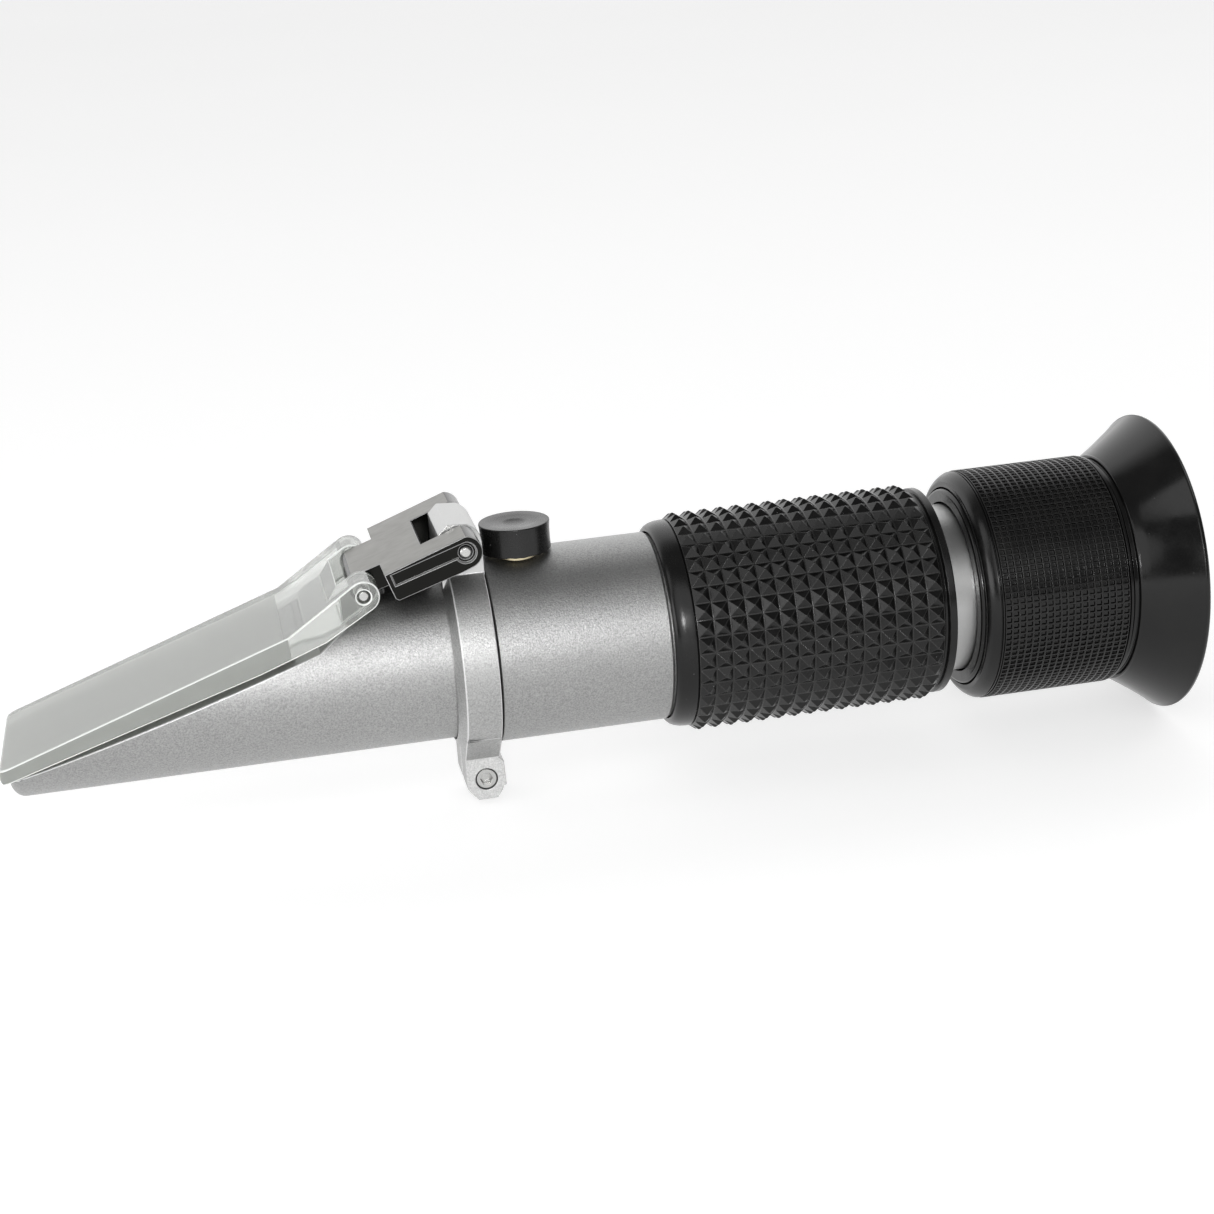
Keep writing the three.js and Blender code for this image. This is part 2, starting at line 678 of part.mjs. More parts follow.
const O_RING_GROOVE_R = 11.1;
const O_RING_GROOVE_HALF = 0.8;

function eyepieceBarrel() {
  const shoulder = GRIP_X1 + GAP;
  const body = turned([
    [BARREL_X0, BARREL_BORE],
    [BARREL_X0, SPIGOT_R],
    [shoulder, SPIGOT_R],
    [shoulder, BARREL_R],
    [O_RING_X - O_RING_GROOVE_HALF, BARREL_R],
    [O_RING_X - O_RING_GROOVE_HALF, O_RING_GROOVE_R],
    [O_RING_X + O_RING_GROOVE_HALF, O_RING_GROOVE_R],
    [O_RING_X + O_RING_GROOVE_HALF, BARREL_R],
    [BARREL_END_X, BARREL_R],
    [BARREL_END_X, BARREL_BORE],
    [BARREL_X0, BARREL_BORE],
  ]);
  return cut(body, uprightRod(GUIDE_PIN_X, 0.75, -14, -5));
}

function oRing() {
  const steps = 6;
  const outline = [];
  for (let i = 0; i <= steps; i++) {
    const angle = -2 * Math.PI * i / steps;
    outline.push([
      O_RING_X + O_RING_SECTION_R * Math.cos(angle),
      BARREL_R - 0.35 + O_RING_SECTION_R * Math.sin(angle),
    ]);
  }
  return turned(outline, INNER_SIDES);
}

const CELL_LIP_BORE = 7.2;
const CELL_LIP = 2.4;

function lensCell() {
  const body = turned([
    [CELL_X0, CELL_LIP_BORE],
    [CELL_X0, CELL_R],
    [FLANGE_X0, CELL_R],
    [FLANGE_X0, FLANGE_R],
    [FLANGE_X1, FLANGE_R],
    [FLANGE_X1, CELL_R],
    [CELL_X1, CELL_R],
    [CELL_X1, CELL_BORE],
    [CELL_X0 + CELL_LIP, CELL_BORE],
    [CELL_X0 + CELL_LIP, CELL_LIP_BORE],
    [CELL_X0, CELL_LIP_BORE],
  ], INNER_SIDES);
  const keyway = block(
    GUIDE_PIN_X - KEYWAY_HALF_LENGTH, GUIDE_PIN_X + KEYWAY_HALF_LENGTH, -0.8, 0.8, -12, -9.4);
  return cut(body, keyway);
}

const LENS_R = CELL_BORE - GAP;
const FIELD_LENS_X = CELL_X0 + CELL_LIP + 1.2;
const FIELD_LENS_EDGE = 2.0;
const SPACER_X0 = FIELD_LENS_X + FIELD_LENS_EDGE + 0.4;
const SPACER_X1 = SPACER_X0 + 9.6;
const EYE_LENS_X = SPACER_X1 + 0.4;
const RETAINER_X0 = CELL_X1 - 2.2;

function focusSleeve() {
  const x1 = FOCUS_X1 - 0.2;
  return turned([
    [SLEEVE_X0, BARREL_R + GAP],
    [SLEEVE_X0, SLEEVE_R - 0.8],
    [SLEEVE_X0 + 0.25, SLEEVE_R - 0.2],
    [SLEEVE_X0 + 0.6, SLEEVE_R],
    [x1, SLEEVE_R],
    [x1, SLEEVE_COUNTERBORE],
    [FLANGE_X0 - GAP, SLEEVE_COUNTERBORE],
    [FLANGE_X0 - GAP, CELL_R + GAP],
    [SLEEVE_STEP_X, CELL_R + GAP],
    [SLEEVE_STEP_X, BARREL_R + GAP],
    [SLEEVE_X0, BARREL_R + GAP],
  ]);
}

function focusRing() {
  const bore = SLEEVE_R + 0.2;
  return turned([
    [FOCUS_X0, bore],
    [FOCUS_X0, FOCUS_R - 1.6],
    [FOCUS_X0 + 0.45, FOCUS_R - 0.8],
    [FOCUS_X0 + 1.0, FOCUS_R - 0.35],
    [FOCUS_X0 + 1.5, FOCUS_R - 0.1],
    [FOCUS_X0 + 2.3, FOCUS_R],
    [FOCUS_X1 - 0.3, FOCUS_R],
    [FOCUS_X1, FOCUS_R - 0.2],
    [FOCUS_X1, bore],
    [FOCUS_X0, bore],
  ]);
}

// The flare sweeps out from a small bead behind the neck to the rim, slightly hollow near the bead.
function eyecup() {
  const steps = 4;
  const flare = [];
  for (let i = 0; i <= steps; i++) {
    const t = i / steps;
    const x = FLARE_X0 + (RIM_X - 0.6 - FLARE_X0) * t;
    flare.push([x, FLARE_R + (RIM_R - FLARE_R) * (0.9 * t + 0.1 * t * t)]);
  }
  const spigotR = SLEEVE_COUNTERBORE - 0.2;
  const spigotX0 = FLANGE_X1 + 0.5;
  const lipX = CELL_X1 + 0.8;
  return turned([
    [NECK_X0, spigotR],
    [NECK_X0, NECK_R],
    [FLARE_X0 - 0.25, NECK_R],
    ...flare,
    [RIM_X, RIM_R - 0.3],
    [RIM_X, RIM_R - 0.9],
    [lipX + 4.2, 17.4],
    [lipX + 1.3, 13.4],
    [lipX + 1.1, CELL_R + 0.4],
    [lipX, CELL_R + 0.4],
    [lipX, FLANGE_R + GAP],
    [spigotX0, FLANGE_R + GAP],
    [spigotX0, spigotR],
    [NECK_X0, spigotR],
  ]);
}

// ---------------------------------------------------------------- assembly

add('prism_housing', prismHousing(), satinAluminium);
add('prism', slab(prismOutline(0), -PRISM_HALF_WIDTH, PRISM_HALF_WIDTH), glass);
add('prism_seal', prismSeal(), sealRubber);
add('main_tube', mainTube(), satinAluminium);
add('clamp_ring', clampRing(), brightAluminium);
add('clamp_screw', clampScrew(), steel);
add('hinge_pin_rear', crossRod(REAR_PIN, PIN_R, -11.9, 11.9), steel);
add('hinge_link', hingeLink(), blackChrome);
add('hinge_pin_front', crossRod(FRONT_PIN, PIN_R, -11.4, 11.4), steel);
add('daylight_plate', daylightPlate(), acrylic);

add('screw_bush', screwBush(), brass);
add('calibration_screw', calibrationScrew(), brass);
add('screw_cap', screwCap(), blackRubber);
add('objective_holder', objectiveHolder(), blackAnodised);
add('objective_lens', lens(OBJECTIVE_X, 2.2, 0.8, OBJECTIVE_R), glass);
add('objective_retainer', objectiveRetainer(), blackAnodised);
add('bimetal_strip', block(STRIP_X0, STRIP_X1, -2.5, 2.5, STRIP_Z1 - STRIP_THICKNESS, STRIP_Z1), brass);
add('calibration_spring', calibrationSpring(), springSteel);

add('field_stop', tube(FIELD_STOP_X, FIELD_STOP_X + 1.5, 6, SPIGOT_R), blackAnodised);
add('reticle_ring', reticleRing(), blackAnodised);
add('reticle', disc(RETICLE_X, RETICLE_X + RETICLE_THICKNESS, RETICLE_R, INNER_SIDES), glass);
add('reticle_clip', tube(CLIP_X, CLIP_X + 1.2, RETICLE_R - 0.9, RETICLE_R), springSteel);

add('rubber_grip', rubberGrip(), blackRubber);
add('eyepiece_barrel', eyepieceBarrel(), satinAluminium);
add('guide_pin', uprightRod(GUIDE_PIN_X, 0.6, -12.1, -9.55, 12), steel);
add('focus_o_ring', oRing(), sealRubber);
add('lens_cell', lensCell(), blackAnodised);
add('field_lens', lens(FIELD_LENS_X, FIELD_LENS_EDGE, 0.9, LENS_R), glass);
add('lens_spacer', tube(SPACER_X0, SPACER_X1, 7.4, LENS_R), blackAnodised);
add('eye_lens', lens(EYE_LENS_X, 2.6, 1.1, LENS_R), glass);
add('lens_retainer', tube(RETAINER_X0, CELL_X1, 6.8, LENS_R), blackAnodised);
add('focus_sleeve', focusSleeve(), blackAnodised);
add('focus_ring', focusRing(), blackAnodised);
add('eyecup', eyecup(), blackRubber);

export default refractometer;
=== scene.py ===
import math

import bmesh
import bpy
from mathutils import Matrix, Vector


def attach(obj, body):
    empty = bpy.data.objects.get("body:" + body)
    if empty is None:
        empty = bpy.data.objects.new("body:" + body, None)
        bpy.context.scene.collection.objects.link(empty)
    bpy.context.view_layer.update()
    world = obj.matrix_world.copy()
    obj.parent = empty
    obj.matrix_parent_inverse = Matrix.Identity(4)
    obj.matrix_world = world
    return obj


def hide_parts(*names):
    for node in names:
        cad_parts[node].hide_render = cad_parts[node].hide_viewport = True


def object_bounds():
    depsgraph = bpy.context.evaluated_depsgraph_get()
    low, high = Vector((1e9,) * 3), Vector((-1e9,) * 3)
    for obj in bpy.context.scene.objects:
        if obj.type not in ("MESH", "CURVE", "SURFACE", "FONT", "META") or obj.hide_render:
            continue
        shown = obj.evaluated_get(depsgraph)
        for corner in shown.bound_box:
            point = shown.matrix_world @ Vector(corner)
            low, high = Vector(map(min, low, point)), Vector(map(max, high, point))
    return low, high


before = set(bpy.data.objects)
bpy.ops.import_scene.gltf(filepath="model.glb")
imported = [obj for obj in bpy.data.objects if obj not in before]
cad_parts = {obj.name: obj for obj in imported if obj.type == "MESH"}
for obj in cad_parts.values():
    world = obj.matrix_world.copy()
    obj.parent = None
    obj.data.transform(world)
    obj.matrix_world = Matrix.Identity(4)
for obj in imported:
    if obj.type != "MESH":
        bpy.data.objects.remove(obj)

# Looks for a hand-held refractometer. Shapes are drawn in millimetres in the CAD frame (X along the
# optical axis towards the eye, Z up) and scaled to metres once, when a piece is finished.

CAD_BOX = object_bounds()
MM = 0.001
TURN = 2 * math.pi
SIDES = 160                    # facets round a large turned piece
MEDIUM_SIDES = 96
SMALL_SIDES = 64
PIN_SIDES = 48
ON_AXIS = 1e-6                 # a smaller radius than this counts as none
FACE_WEIGHT = 60               # how far the larger faces decide the shading
FACING = 0.9                   # the least share of a normal that makes a face look one way

# ------------------------------------------------------------------ dimensions, as in the CAD frame

NOSE_X = -83.05
HOUSING_R = 12.1
TUBE_R = 13.5
TUBE_BORE = 11.4
JOINT_X = -15.75
SPIGOT_R = 11.1
SPIGOT_END_X = -4.5
CUT_SLOPE = 0.3
CUT_ZERO_X = -59.15
POCKET_X0, POCKET_X1 = -78.1, -41.4
PRISM_HALF_WIDTH = 6.5
PRISM_BOTTOM_Z = -7.9
PRISM_PROUD = 0.35
CUT_BEND_X = -39.7
CUT_END_X, CUT_END_Z = -33.6, 9.9
SADDLE_END_X = -30.0
SADDLE_Z = 11.2
REAR_PIN = (-18.9, 17.8)
FRONT_PIN = (-33.15, 13.3)
CAP_X = -10.5
GAP = 0.3                      # between separate pieces
PIN_R = 0.8
PIN_PLAY = 0.15
PIN_HOLE_R = 0.95
BUSH_HOLE_R = 2.7


def cut_height(x):
    """Height of the slanted cut in the housing at station x."""
    return CUT_SLOPE * (x - CUT_ZERO_X)


# ------------------------------------------------------------------ mesh helpers


def turned(outline, sides=SIDES):
    """A bmesh of the (x, r) points turned about X. Ends on the axis close it, else the outline wraps."""
    bm = bmesh.new()
    rings = []
    for x, r in outline:
        if r < ON_AXIS:
            rings.append([bm.verts.new((x, 0, 0))] * sides)
            continue
        angles = [TURN * j / sides for j in range(sides)]
        rings.append([bm.verts.new((x, r * math.cos(a), r * math.sin(a))) for a in angles])
    pairs = list(zip(rings, rings[1:]))
    if outline[0][1] > ON_AXIS:
        pairs.append((rings[-1], rings[0]))
    for near, far in pairs:
        for j in range(sides):
            k = (j + 1) % sides
            corners = list(dict.fromkeys([near[j], near[k], far[k], far[j]]))
            if len(corners) > 2:
                bm.faces.new(corners)
    bmesh.ops.recalc_face_normals(bm, faces=bm.faces)
    return bm


def extruded(outline, y0, y1):
    """A bmesh of the side-view (x, z) points, extruded across the instrument from y0 to y1."""
    bm = bmesh.new()
    near = [bm.verts.new((x, y0, z)) for x, z in outline]
    far = [bm.verts.new((x, y1, z)) for x, z in outline]
    bm.faces.new(near)
    bm.faces.new(far)
    for j in range(len(outline)):
        k = (j + 1) % len(outline)
        bm.faces.new([near[j], near[k], far[k], far[j]])
    bmesh.ops.recalc_face_normals(bm, faces=bm.faces)
    return bm


def standing(outline, z0, z1):
    """A bmesh of the plan-view (x, y) points, extruded upwards from z0 to z1."""
    bm = extruded(outline, z0, z1)
    bm.transform(Matrix(((1, 0, 0, 0), (0, 0, 1, 0), (0, 1, 0, 0), (0, 0, 0, 1))))
    bmesh.ops.recalc_face_normals(bm, faces=bm.faces)
    return bm


def lengthwise(outline, x0, x1):
    """A bmesh of the front-view (y, z) points, extruded along the axis from x0 to x1."""
    bm = extruded(outline, x0, x1)
    bm.transform(Matrix(((0, 1, 0, 0), (1, 0, 0, 0), (0, 0, 1, 0), (0, 0, 0, 1))))
    bmesh.ops.recalc_face_normals(bm, faces=bm.faces)
    return bm


def block(x0, x1, y0, y1, z0, z1):
    return extruded([(x0, z0), (x1, z0), (x1, z1), (x0, z1)], y0, y1)


def upright(bm, x=CAP_X):
    """A turned bmesh stood on end: its X becomes Z, and its axis is at station x."""
    bm.transform(Matrix.Translation((x, 0, 0)) @ Matrix.Rotation(math.radians(-90), 4, "Y"))
    return bm


def crosswise(bm, centre):
    """A turned bmesh laid across: its X becomes Y, and its axis passes through (x, z)."""
    bm.transform(Matrix.Translation((centre[0], 0, centre[1])) @ Matrix.Rotation(math.radians(90), 4, "Z"))
    return bm


def disc(x0, x1, radius, sides=SMALL_SIDES):
    """A plain round bar along the axis."""
    return turned([(x0, 0), (x0, radius), (x1, radius), (x1, 0)], sides)


def post(z0, z1, radius, sides=SMALL_SIDES):
    """A plain round bar standing on the axis of the calibration screw."""
    return upright(disc(z0, z1, radius, sides))


def rod(centre, radius, y0, y1, sides=SMALL_SIDES):
    """A plain rod across the instrument, used to cut holes."""
    return crosswise(disc(y0, y1, radius, sides), centre)


def arc(centre, radius, start, end, steps):
    """Points of an arc in a side view, angles in degrees from +X towards +Z."""
    points = []
    for i in range(steps + 1):
        angle = math.radians(start + (end - start) * i / steps)
        points.append((centre[0] + radius * math.cos(angle), centre[1] + radius * math.sin(angle)))
    return points


def as_object(bm, name="tool"):
    mesh = bpy.data.meshes.new(name)
    bm.to_mesh(mesh)
    bm.free()
    obj = bpy.data.objects.new(name, mesh)
    bpy.context.scene.collection.objects.link(obj)
    return obj


def apply_modifiers(obj):
    graph = bpy.context.evaluated_depsgraph_get()
    mesh = bpy.data.meshes.new_from_object(obj.evaluated_get(graph))
    obj.modifiers.clear()
    obj.data = mesh
    return obj


def combine(obj, tools, operation):
    """obj with each tool, a bmesh, joined to it, cut from it or crossed with it."""
    helpers = [as_object(tool) for tool in tools]
    for helper in helpers:
        modifier = obj.modifiers.new("combine", "BOOLEAN")
        modifier.operation = operation
        modifier.solver = "EXACT"
        modifier.object = helper
    apply_modifiers(obj)
    for helper in helpers:
        bpy.data.objects.remove(helper)
    return obj


def cut(obj, *tools):
    return combine(obj, tools, "DIFFERENCE")


def weld(obj, *tools):
    return combine(obj, tools, "UNION")


def soften(obj, width, segments=2, angle=32, edge_material=-1):
    """Rounds every edge sharper than the angle, and shades the flats flat and the curves smooth.

    The rounding can only take a material whose slot is there already, so empty slots come first. Each edge
    material given here is lighter than the body: a painted highlight along the rounded edges.
    """
    obj.data.shade_smooth()
    while len(obj.data.materials) <= edge_material:
        obj.data.materials.append(None)
    bevel = obj.modifiers.new("edges", "BEVEL")
    bevel.width = width
    bevel.segments = segments
    bevel.limit_method = "ANGLE"
    bevel.angle_limit = math.radians(angle)
    bevel.use_clamp_overlap = False
    bevel.material = edge_material
    normals = obj.modifiers.new("shading", "WEIGHTED_NORMAL")
    normals.weight = FACE_WEIGHT
    return apply_modifiers(obj)


def piece(name, obj, body, slot, materials, *nodes):
    """Finishes a piece: metres, name, materials, its body and the CAD nodes it stands for. slot is not
    used.
    """
    obj.data.transform(Matrix.Scale(MM, 4))
    obj.name = obj.data.name = name
    give_materials(obj, materials if isinstance(materials, list) else [materials])
    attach(obj, body)
    if nodes:
        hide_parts(*nodes)
    return obj


def give_materials(obj, materials):
    """Fills the mesh's material slots in order, adding slots where they run out."""
    slots = obj.data.materials
    for index, material in enumerate(materials):
        if index < len(slots):
            slots[index] = material
        else:
            slots.append(material)


def give_faces(obj, index, wanted):
    """Gives material number index to the faces whose (centre, normal), in millimetres, are wanted."""
    for face in obj.data.polygons:
        if wanted(face.center, face.normal):
            face.material_index = index


# ------------------------------------------------------------------ materials


class Nodes:
    """A short way to write a node tree: each call adds a node and returns its first output."""

    def __init__(self, name):
        self.material = bpy.data.materials.new(name)
        self.material.use_nodes = True
        self.tree = self.material.node_tree
        self.shader = self.tree.nodes["Principled BSDF"]

    def add(self, kind, **inputs):
        node = self.tree.nodes.new(kind)
        self.feed(node, inputs)
        return node

    def feed(self, node, inputs):
        """Links or sets the inputs by name. i0, i1 and so on stand for a socket's number."""
        for name, value in inputs.items():
            numbered = name[0] == "i" and name[1:].isdigit()
            socket = node.inputs[int(name[1:])] if numbered else node.inputs[name]
            if isinstance(value, bpy.types.NodeSocket):
                self.tree.links.new(value, socket)
            else:
                socket.default_value = value

    def place(self, stretch=(1, 1, 1)):
        """Object coordinates in metres, stretched along the axes."""
        coords = self.tree.nodes.new("ShaderNodeTexCoord").outputs["Object"]
        mapping = self.add("ShaderNodeMapping", Vector=coords, Scale=stretch)
        return mapping.outputs[0]

    def grain(self, size_mm, detail=2.0, roughness=0.5, stretch=(1, 1, 1)):
        """Soft noise whose features are about size_mm across."""
        inputs = {"Vector": self.place(stretch), "Scale": 1 / (size_mm * MM), "Detail": detail,
                  "Roughness": roughness}
        return self.add("ShaderNodeTexNoise", **inputs).outputs["Fac"]

    def cells(self, size_mm):
        """Cells about size_mm across, each with a colour of its own."""
        return self.add("ShaderNodeTexVoronoi", Vector=self.place(), Scale=1 / (size_mm * MM))

    def ramp(self, value, low, high, to_low=0.0, to_high=1.0):
        """value from low..high carried to to_low..to_high, held at the ends."""
        node = self.add("ShaderNodeMapRange", i0=value, i1=low, i2=high, i3=to_low, i4=to_high)
        return node.outputs[0]

    def maths(self, operation, a, b):
        node = self.tree.nodes.new("ShaderNodeMath")
        node.operation = operation
        self.feed(node, {"i0": a, "i1": b})
        return node.outputs[0]

    def blend(self, share, a, b):
        """Colour a where share is 0, b where it is 1."""
        node = self.tree.nodes.new("ShaderNodeMix")
        node.data_type = "RGBA"
        self.feed(node, {"i0": share, "i6": a, "i7": b})
        return node.outputs[2]

    def bump(self, height, strength, depth_mm):
        node = self.add("ShaderNodeBump", Height=height, Strength=strength, Distance=depth_mm * MM)
        return node.outputs[0]

    def done(self, **inputs):
        self.feed(self.shader, {name.replace("_", " "): value for name, value in inputs.items()})
        return self.material


def grey(level):
    return (level, level, level, 1.0)


def blasted_aluminium(name, level, roughness, sparkle=1.0, grain_mm=0.17):
    """Bead-blasted metal: a fine sparkling grain, faint cloudy patches and a few hairline marks."""
    n = Nodes(name)
    grain = n.grain(grain_mm, 3.0, 0.7)
    cloud = n.grain(9.0, 3.0)
    hairs = n.grain(0.5, 2.0, stretch=(0.05, 1, 1))
    speckle = 0.16 * sparkle
    tone = n.maths("ADD", n.ramp(grain, 0.3, 0.7, -speckle, speckle),
                   n.ramp(cloud, 0.3, 0.7, -0.02, 0.02))
    tone = n.maths("ADD", tone, n.ramp(hairs, 0.7, 0.76, 0.0, 0.03))
    share = n.ramp(tone, -0.3, 0.3)
    dark = (level * 0.62, level * 0.625, level * 0.62, 1)
    light = (level * 1.38, level * 1.38, level * 1.37, 1)
    color = n.blend(share, dark, light)
    rough = n.maths("ADD", n.ramp(grain, 0.25, 0.75, roughness + 0.07, roughness - 0.07),
                    n.ramp(cloud, 0.35, 0.65, -0.02, 0.02))
    normal = n.bump(grain, 0.8 * sparkle, 0.05)
    return n.done(Base_Color=color, Roughness=rough, Metallic=1.0, Normal=normal)


def plated_metal(name, color, roughness, grain_mm=0.6):
    """Smooth plated or buffed metal with faint handling marks."""
    n = Nodes(name)
    smear = n.grain(3.0, 4.0)
    fine = n.grain(grain_mm, 2.0, stretch=(0.15, 1, 1))
    darker = tuple(0.8 * c for c in color[:3]) + (1,)
    tint = n.blend(n.ramp(smear, 0.35, 0.7, 0.0, 0.3), color, darker)
    rough = n.maths("ADD", n.ramp(smear, 0.3, 0.75, roughness * 0.92, roughness * 1.12),
                    n.ramp(fine, 0.4, 0.7, 0.0, 0.05))
    return n.done(Base_Color=tint, Roughness=rough, Metallic=1.0, Normal=n.bump(fine, 0.12, 0.01))


def edge_with_painted_glint(name, level):
    """A cut edge with a fine burr, its colour painted pale: partly a real bright edge, partly a painted
    highlight that shows from every side.
    """
    n = Nodes(name)
    burr = n.grain(0.12, 2.0)
    color = n.blend(n.ramp(burr, 0.35, 0.65), grey(level * 0.8), grey(level))
    return n.done(Base_Color=color, Roughness=n.ramp(burr, 0.3, 0.7, 0.3, 0.45), Metallic=0.45,
                  Normal=n.bump(burr, 0.3, 0.02))


def black_rubber(name, level, roughness, dust=1.0, bump=0.25, shine=0.28):
    """Moulded rubber: a fine skin texture, slightly uneven gloss and specks of dust."""
    n = Nodes(name)
    skin = n.grain(0.22, 3.0, 0.6)
    patches = n.grain(4.0, 3.0)
    specks = n.cells(0.9)
    near = n.ramp(specks.outputs["Distance"], 0.045, 0.07, 1.0, 0.0)
    draw = n.add("ShaderNodeSeparateColor", Color=specks.outputs["Color"]).outputs[0]
    chosen = n.ramp(draw, 0.86, 0.9)
    speck = n.maths("MULTIPLY", n.maths("MULTIPLY", near, chosen), dust)
    worn = (level * 1.3, level * 1.27, level * 1.2, 1)
    base = n.blend(n.ramp(patches, 0.3, 0.7), grey(level * 0.8), worn)
    color = n.blend(speck, base, grey(0.2))
    rough = n.maths("ADD", n.ramp(patches, 0.3, 0.7, roughness - 0.04, roughness + 0.06),
                    n.maths("MULTIPLY", speck, 0.4))
    rough = n.maths("ADD", rough, n.ramp(skin, 0.3, 0.7, -0.04, 0.04))
    return n.done(Base_Color=color, Roughness=rough, Specular_IOR_Level=shine,
                  Normal=n.bump(skin, bump, 0.03))


def clear_plastic(name, tint, roughness, transmission, cloud):
    """Acrylic with faint haze. cloud is the strength of its fine frosting."""
    n = Nodes(name)
    haze = n.grain(2.5, 3.0)
    frost = n.grain(0.12, 2.0)
    milky = tuple(min(1.0, c * 1.04) for c in tint[:3]) + (1,)
    color = n.blend(n.ramp(haze, 0.3, 0.7), tint, milky)
    rough = n.ramp(haze, 0.3, 0.7, roughness * 0.8, roughness * 1.25)
    normal = n.bump(frost, cloud, 0.01)
    return n.done(Base_Color=color, Roughness=rough, Transmission_Weight=transmission, IOR=1.49,
                  Normal=normal)


def optical_glass(name, tint):
    n = Nodes(name)
    film = n.grain(5.0, 2.0)
    rough = n.ramp(film, 0.45, 0.8, 0.0, 0.05)
    color = n.blend(n.ramp(film, 0.3, 0.8), tint, tuple(0.96 * c for c in tint[:3]) + (1,))
    return n.done(Base_Color=color, Roughness=rough, Transmission_Weight=1.0, IOR=1.52)


def make_materials():
    return {
        "housing": blasted_aluminium("housing_blasted", 0.36, 0.41, 1.3, 0.24),
        "tube": blasted_aluminium("tube_blasted", 0.35, 0.41, 1.3, 0.24),
        "ring": blasted_aluminium("ring_blasted", 0.42, 0.43, 1.2, 0.24),
        "ear": blasted_aluminium("ear_blasted", 0.6, 0.42, 1.1, 0.2),
        "lug": blasted_aluminium("lug_satin", 0.55, 0.4, 0.25, 0.1),
        "barrel": blasted_aluminium("barrel_satin", 0.42, 0.34, 0.4, 0.1),
        # Pale edge colour: partly the real machined edge, partly a painted highlight along every rounded
        # edge.
        "polished_and_painted_glint": edge_with_painted_glint("machined_edge_painted_glint", 0.7),
        "land": plated_metal("land_machined", (0.62, 0.62, 0.61, 1), 0.36),
        "pocket": black_rubber("pocket_black", 0.03, 0.5, 0.0),
        "link_top": plated_metal("link_satin", (0.2, 0.197, 0.185, 1), 0.3),
        "link_side": plated_metal("link_black_chrome", (0.016, 0.016, 0.015, 1), 0.14),
        # The link's rounded edges: a pale edge colour on the black sides, a painted highlight.
        "link_edge_painted_glint": edge_with_painted_glint("link_painted_glint_edge", 0.3),
        "steel": plated_metal("pin_steel", (0.52, 0.52, 0.51, 1), 0.24),
        "spring": plated_metal("spring_steel", (0.4, 0.4, 0.4, 1), 0.25),
        "brass": plated_metal("turned_brass", (0.6, 0.53, 0.36, 1), 0.28),
        "acrylic": clear_plastic("acrylic_clear", (0.62, 0.635, 0.61, 1), 0.07, 0.8, 0.06),
        "frosted": clear_plastic("acrylic_frosted", (0.66, 0.675, 0.64, 1), 0.55, 0.35, 0.4),
        # Lighter, less clear acrylic on the plate's rounded edges: a painted highlight along them.
        "plate_edge_painted_glint": clear_plastic("acrylic_painted_glint_edge", (0.9, 0.92, 0.9, 1), 0.12, 0.2, 0.1),
        "glass": optical_glass("lens_glass", (0.95, 0.98, 0.97, 1)),
        "grip": black_rubber("grip_rubber", 0.003, 0.22, 0.8, 0.2, 0.34),
        # Lighter rubber on the rounded edges of the grip's studs and of the knurl: a painted highlight for
        # their glints.
        "grip_painted_glint_edge": black_rubber("grip_painted_glint_edge", 0.012, 0.26, 0.2, 0.1, 0.5),
        "knurl_painted_glint_edge": black_rubber("knurl_painted_glint_edge", 0.014, 0.26, 0.2, 0.1, 0.5),
        "cap": black_rubber("cap_rubber", 0.004, 0.24, 1.6, 0.35, 0.42),
        "eyecup": black_rubber("eyecup_rubber", 0.003, 0.15, 0.4, 0.08, 0.36),
        "seal": black_rubber("seal_rubber", 0.02, 0.6, 0.2),
        "anodised": black_rubber("black_anodised", 0.02, 0.42, 0.3),
        "focus": black_rubber("focus_black", 0.002, 0.2, 0.6, 0.2, 0.36),
    }


# ------------------------------------------------------------------ prism end


def slant_tool():
    above = 30
    front = NOSE_X - 5
    return extruded([
        (front, cut_height(front)),
        (CUT_BEND_X, cut_height(CUT_BEND_X)),
        (CUT_END_X, CUT_END_Z),
        (CUT_END_X, SADDLE_Z),
        (SADDLE_END_X, SADDLE_Z),
        (SADDLE_END_X, above),
        (front, above),
    ], -above, above)


def pocket_tool(grow, depth, half_width):
    x0, x1, lift = POCKET_X0 - grow, POCKET_X1 + grow, 4
    outline = [(x0, cut_height(x0) - depth), (x1, cut_height(x1) - depth),
               (x1, cut_height(x1) + lift), (x0, cut_height(x0) + lift)]
    return extruded(outline, -half_width, half_width)


def prism_outline(grow):
    return [
        (POCKET_X0 - grow, PRISM_BOTTOM_Z - grow),
        (POCKET_X1 + grow, PRISM_BOTTOM_Z - grow),
        (POCKET_X1 + grow, cut_height(POCKET_X1) + PRISM_PROUD),
        (POCKET_X0 - grow, cut_height(POCKET_X0 - grow) + PRISM_PROUD),
    ]


NOSE_ROUND = 1.8
SLANT_FACETS = (-15, -14, -12, -8, -3, 3, 8)
SEAL_ROOM, SEAL_ROOM_DEPTH = 1.4, 2.3
LIGHT_BORE = 4.6               # stays under the slant behind the prism
OBJECTIVE_BORE, OBJECTIVE_BORE_X = 9.6, -25
BORES_END_X = SPIGOT_END_X + 1
LAND_TOLERANCE = 0.06
POCKET_MARGIN = 1.5


def slant_station(k):
    """A station where the slant meets the round outside half-way across facet k from the level one."""
    return CUT_ZERO_X + HOUSING_R * math.sin((k + 0.5) * TURN / SIDES) / CUT_SLOPE


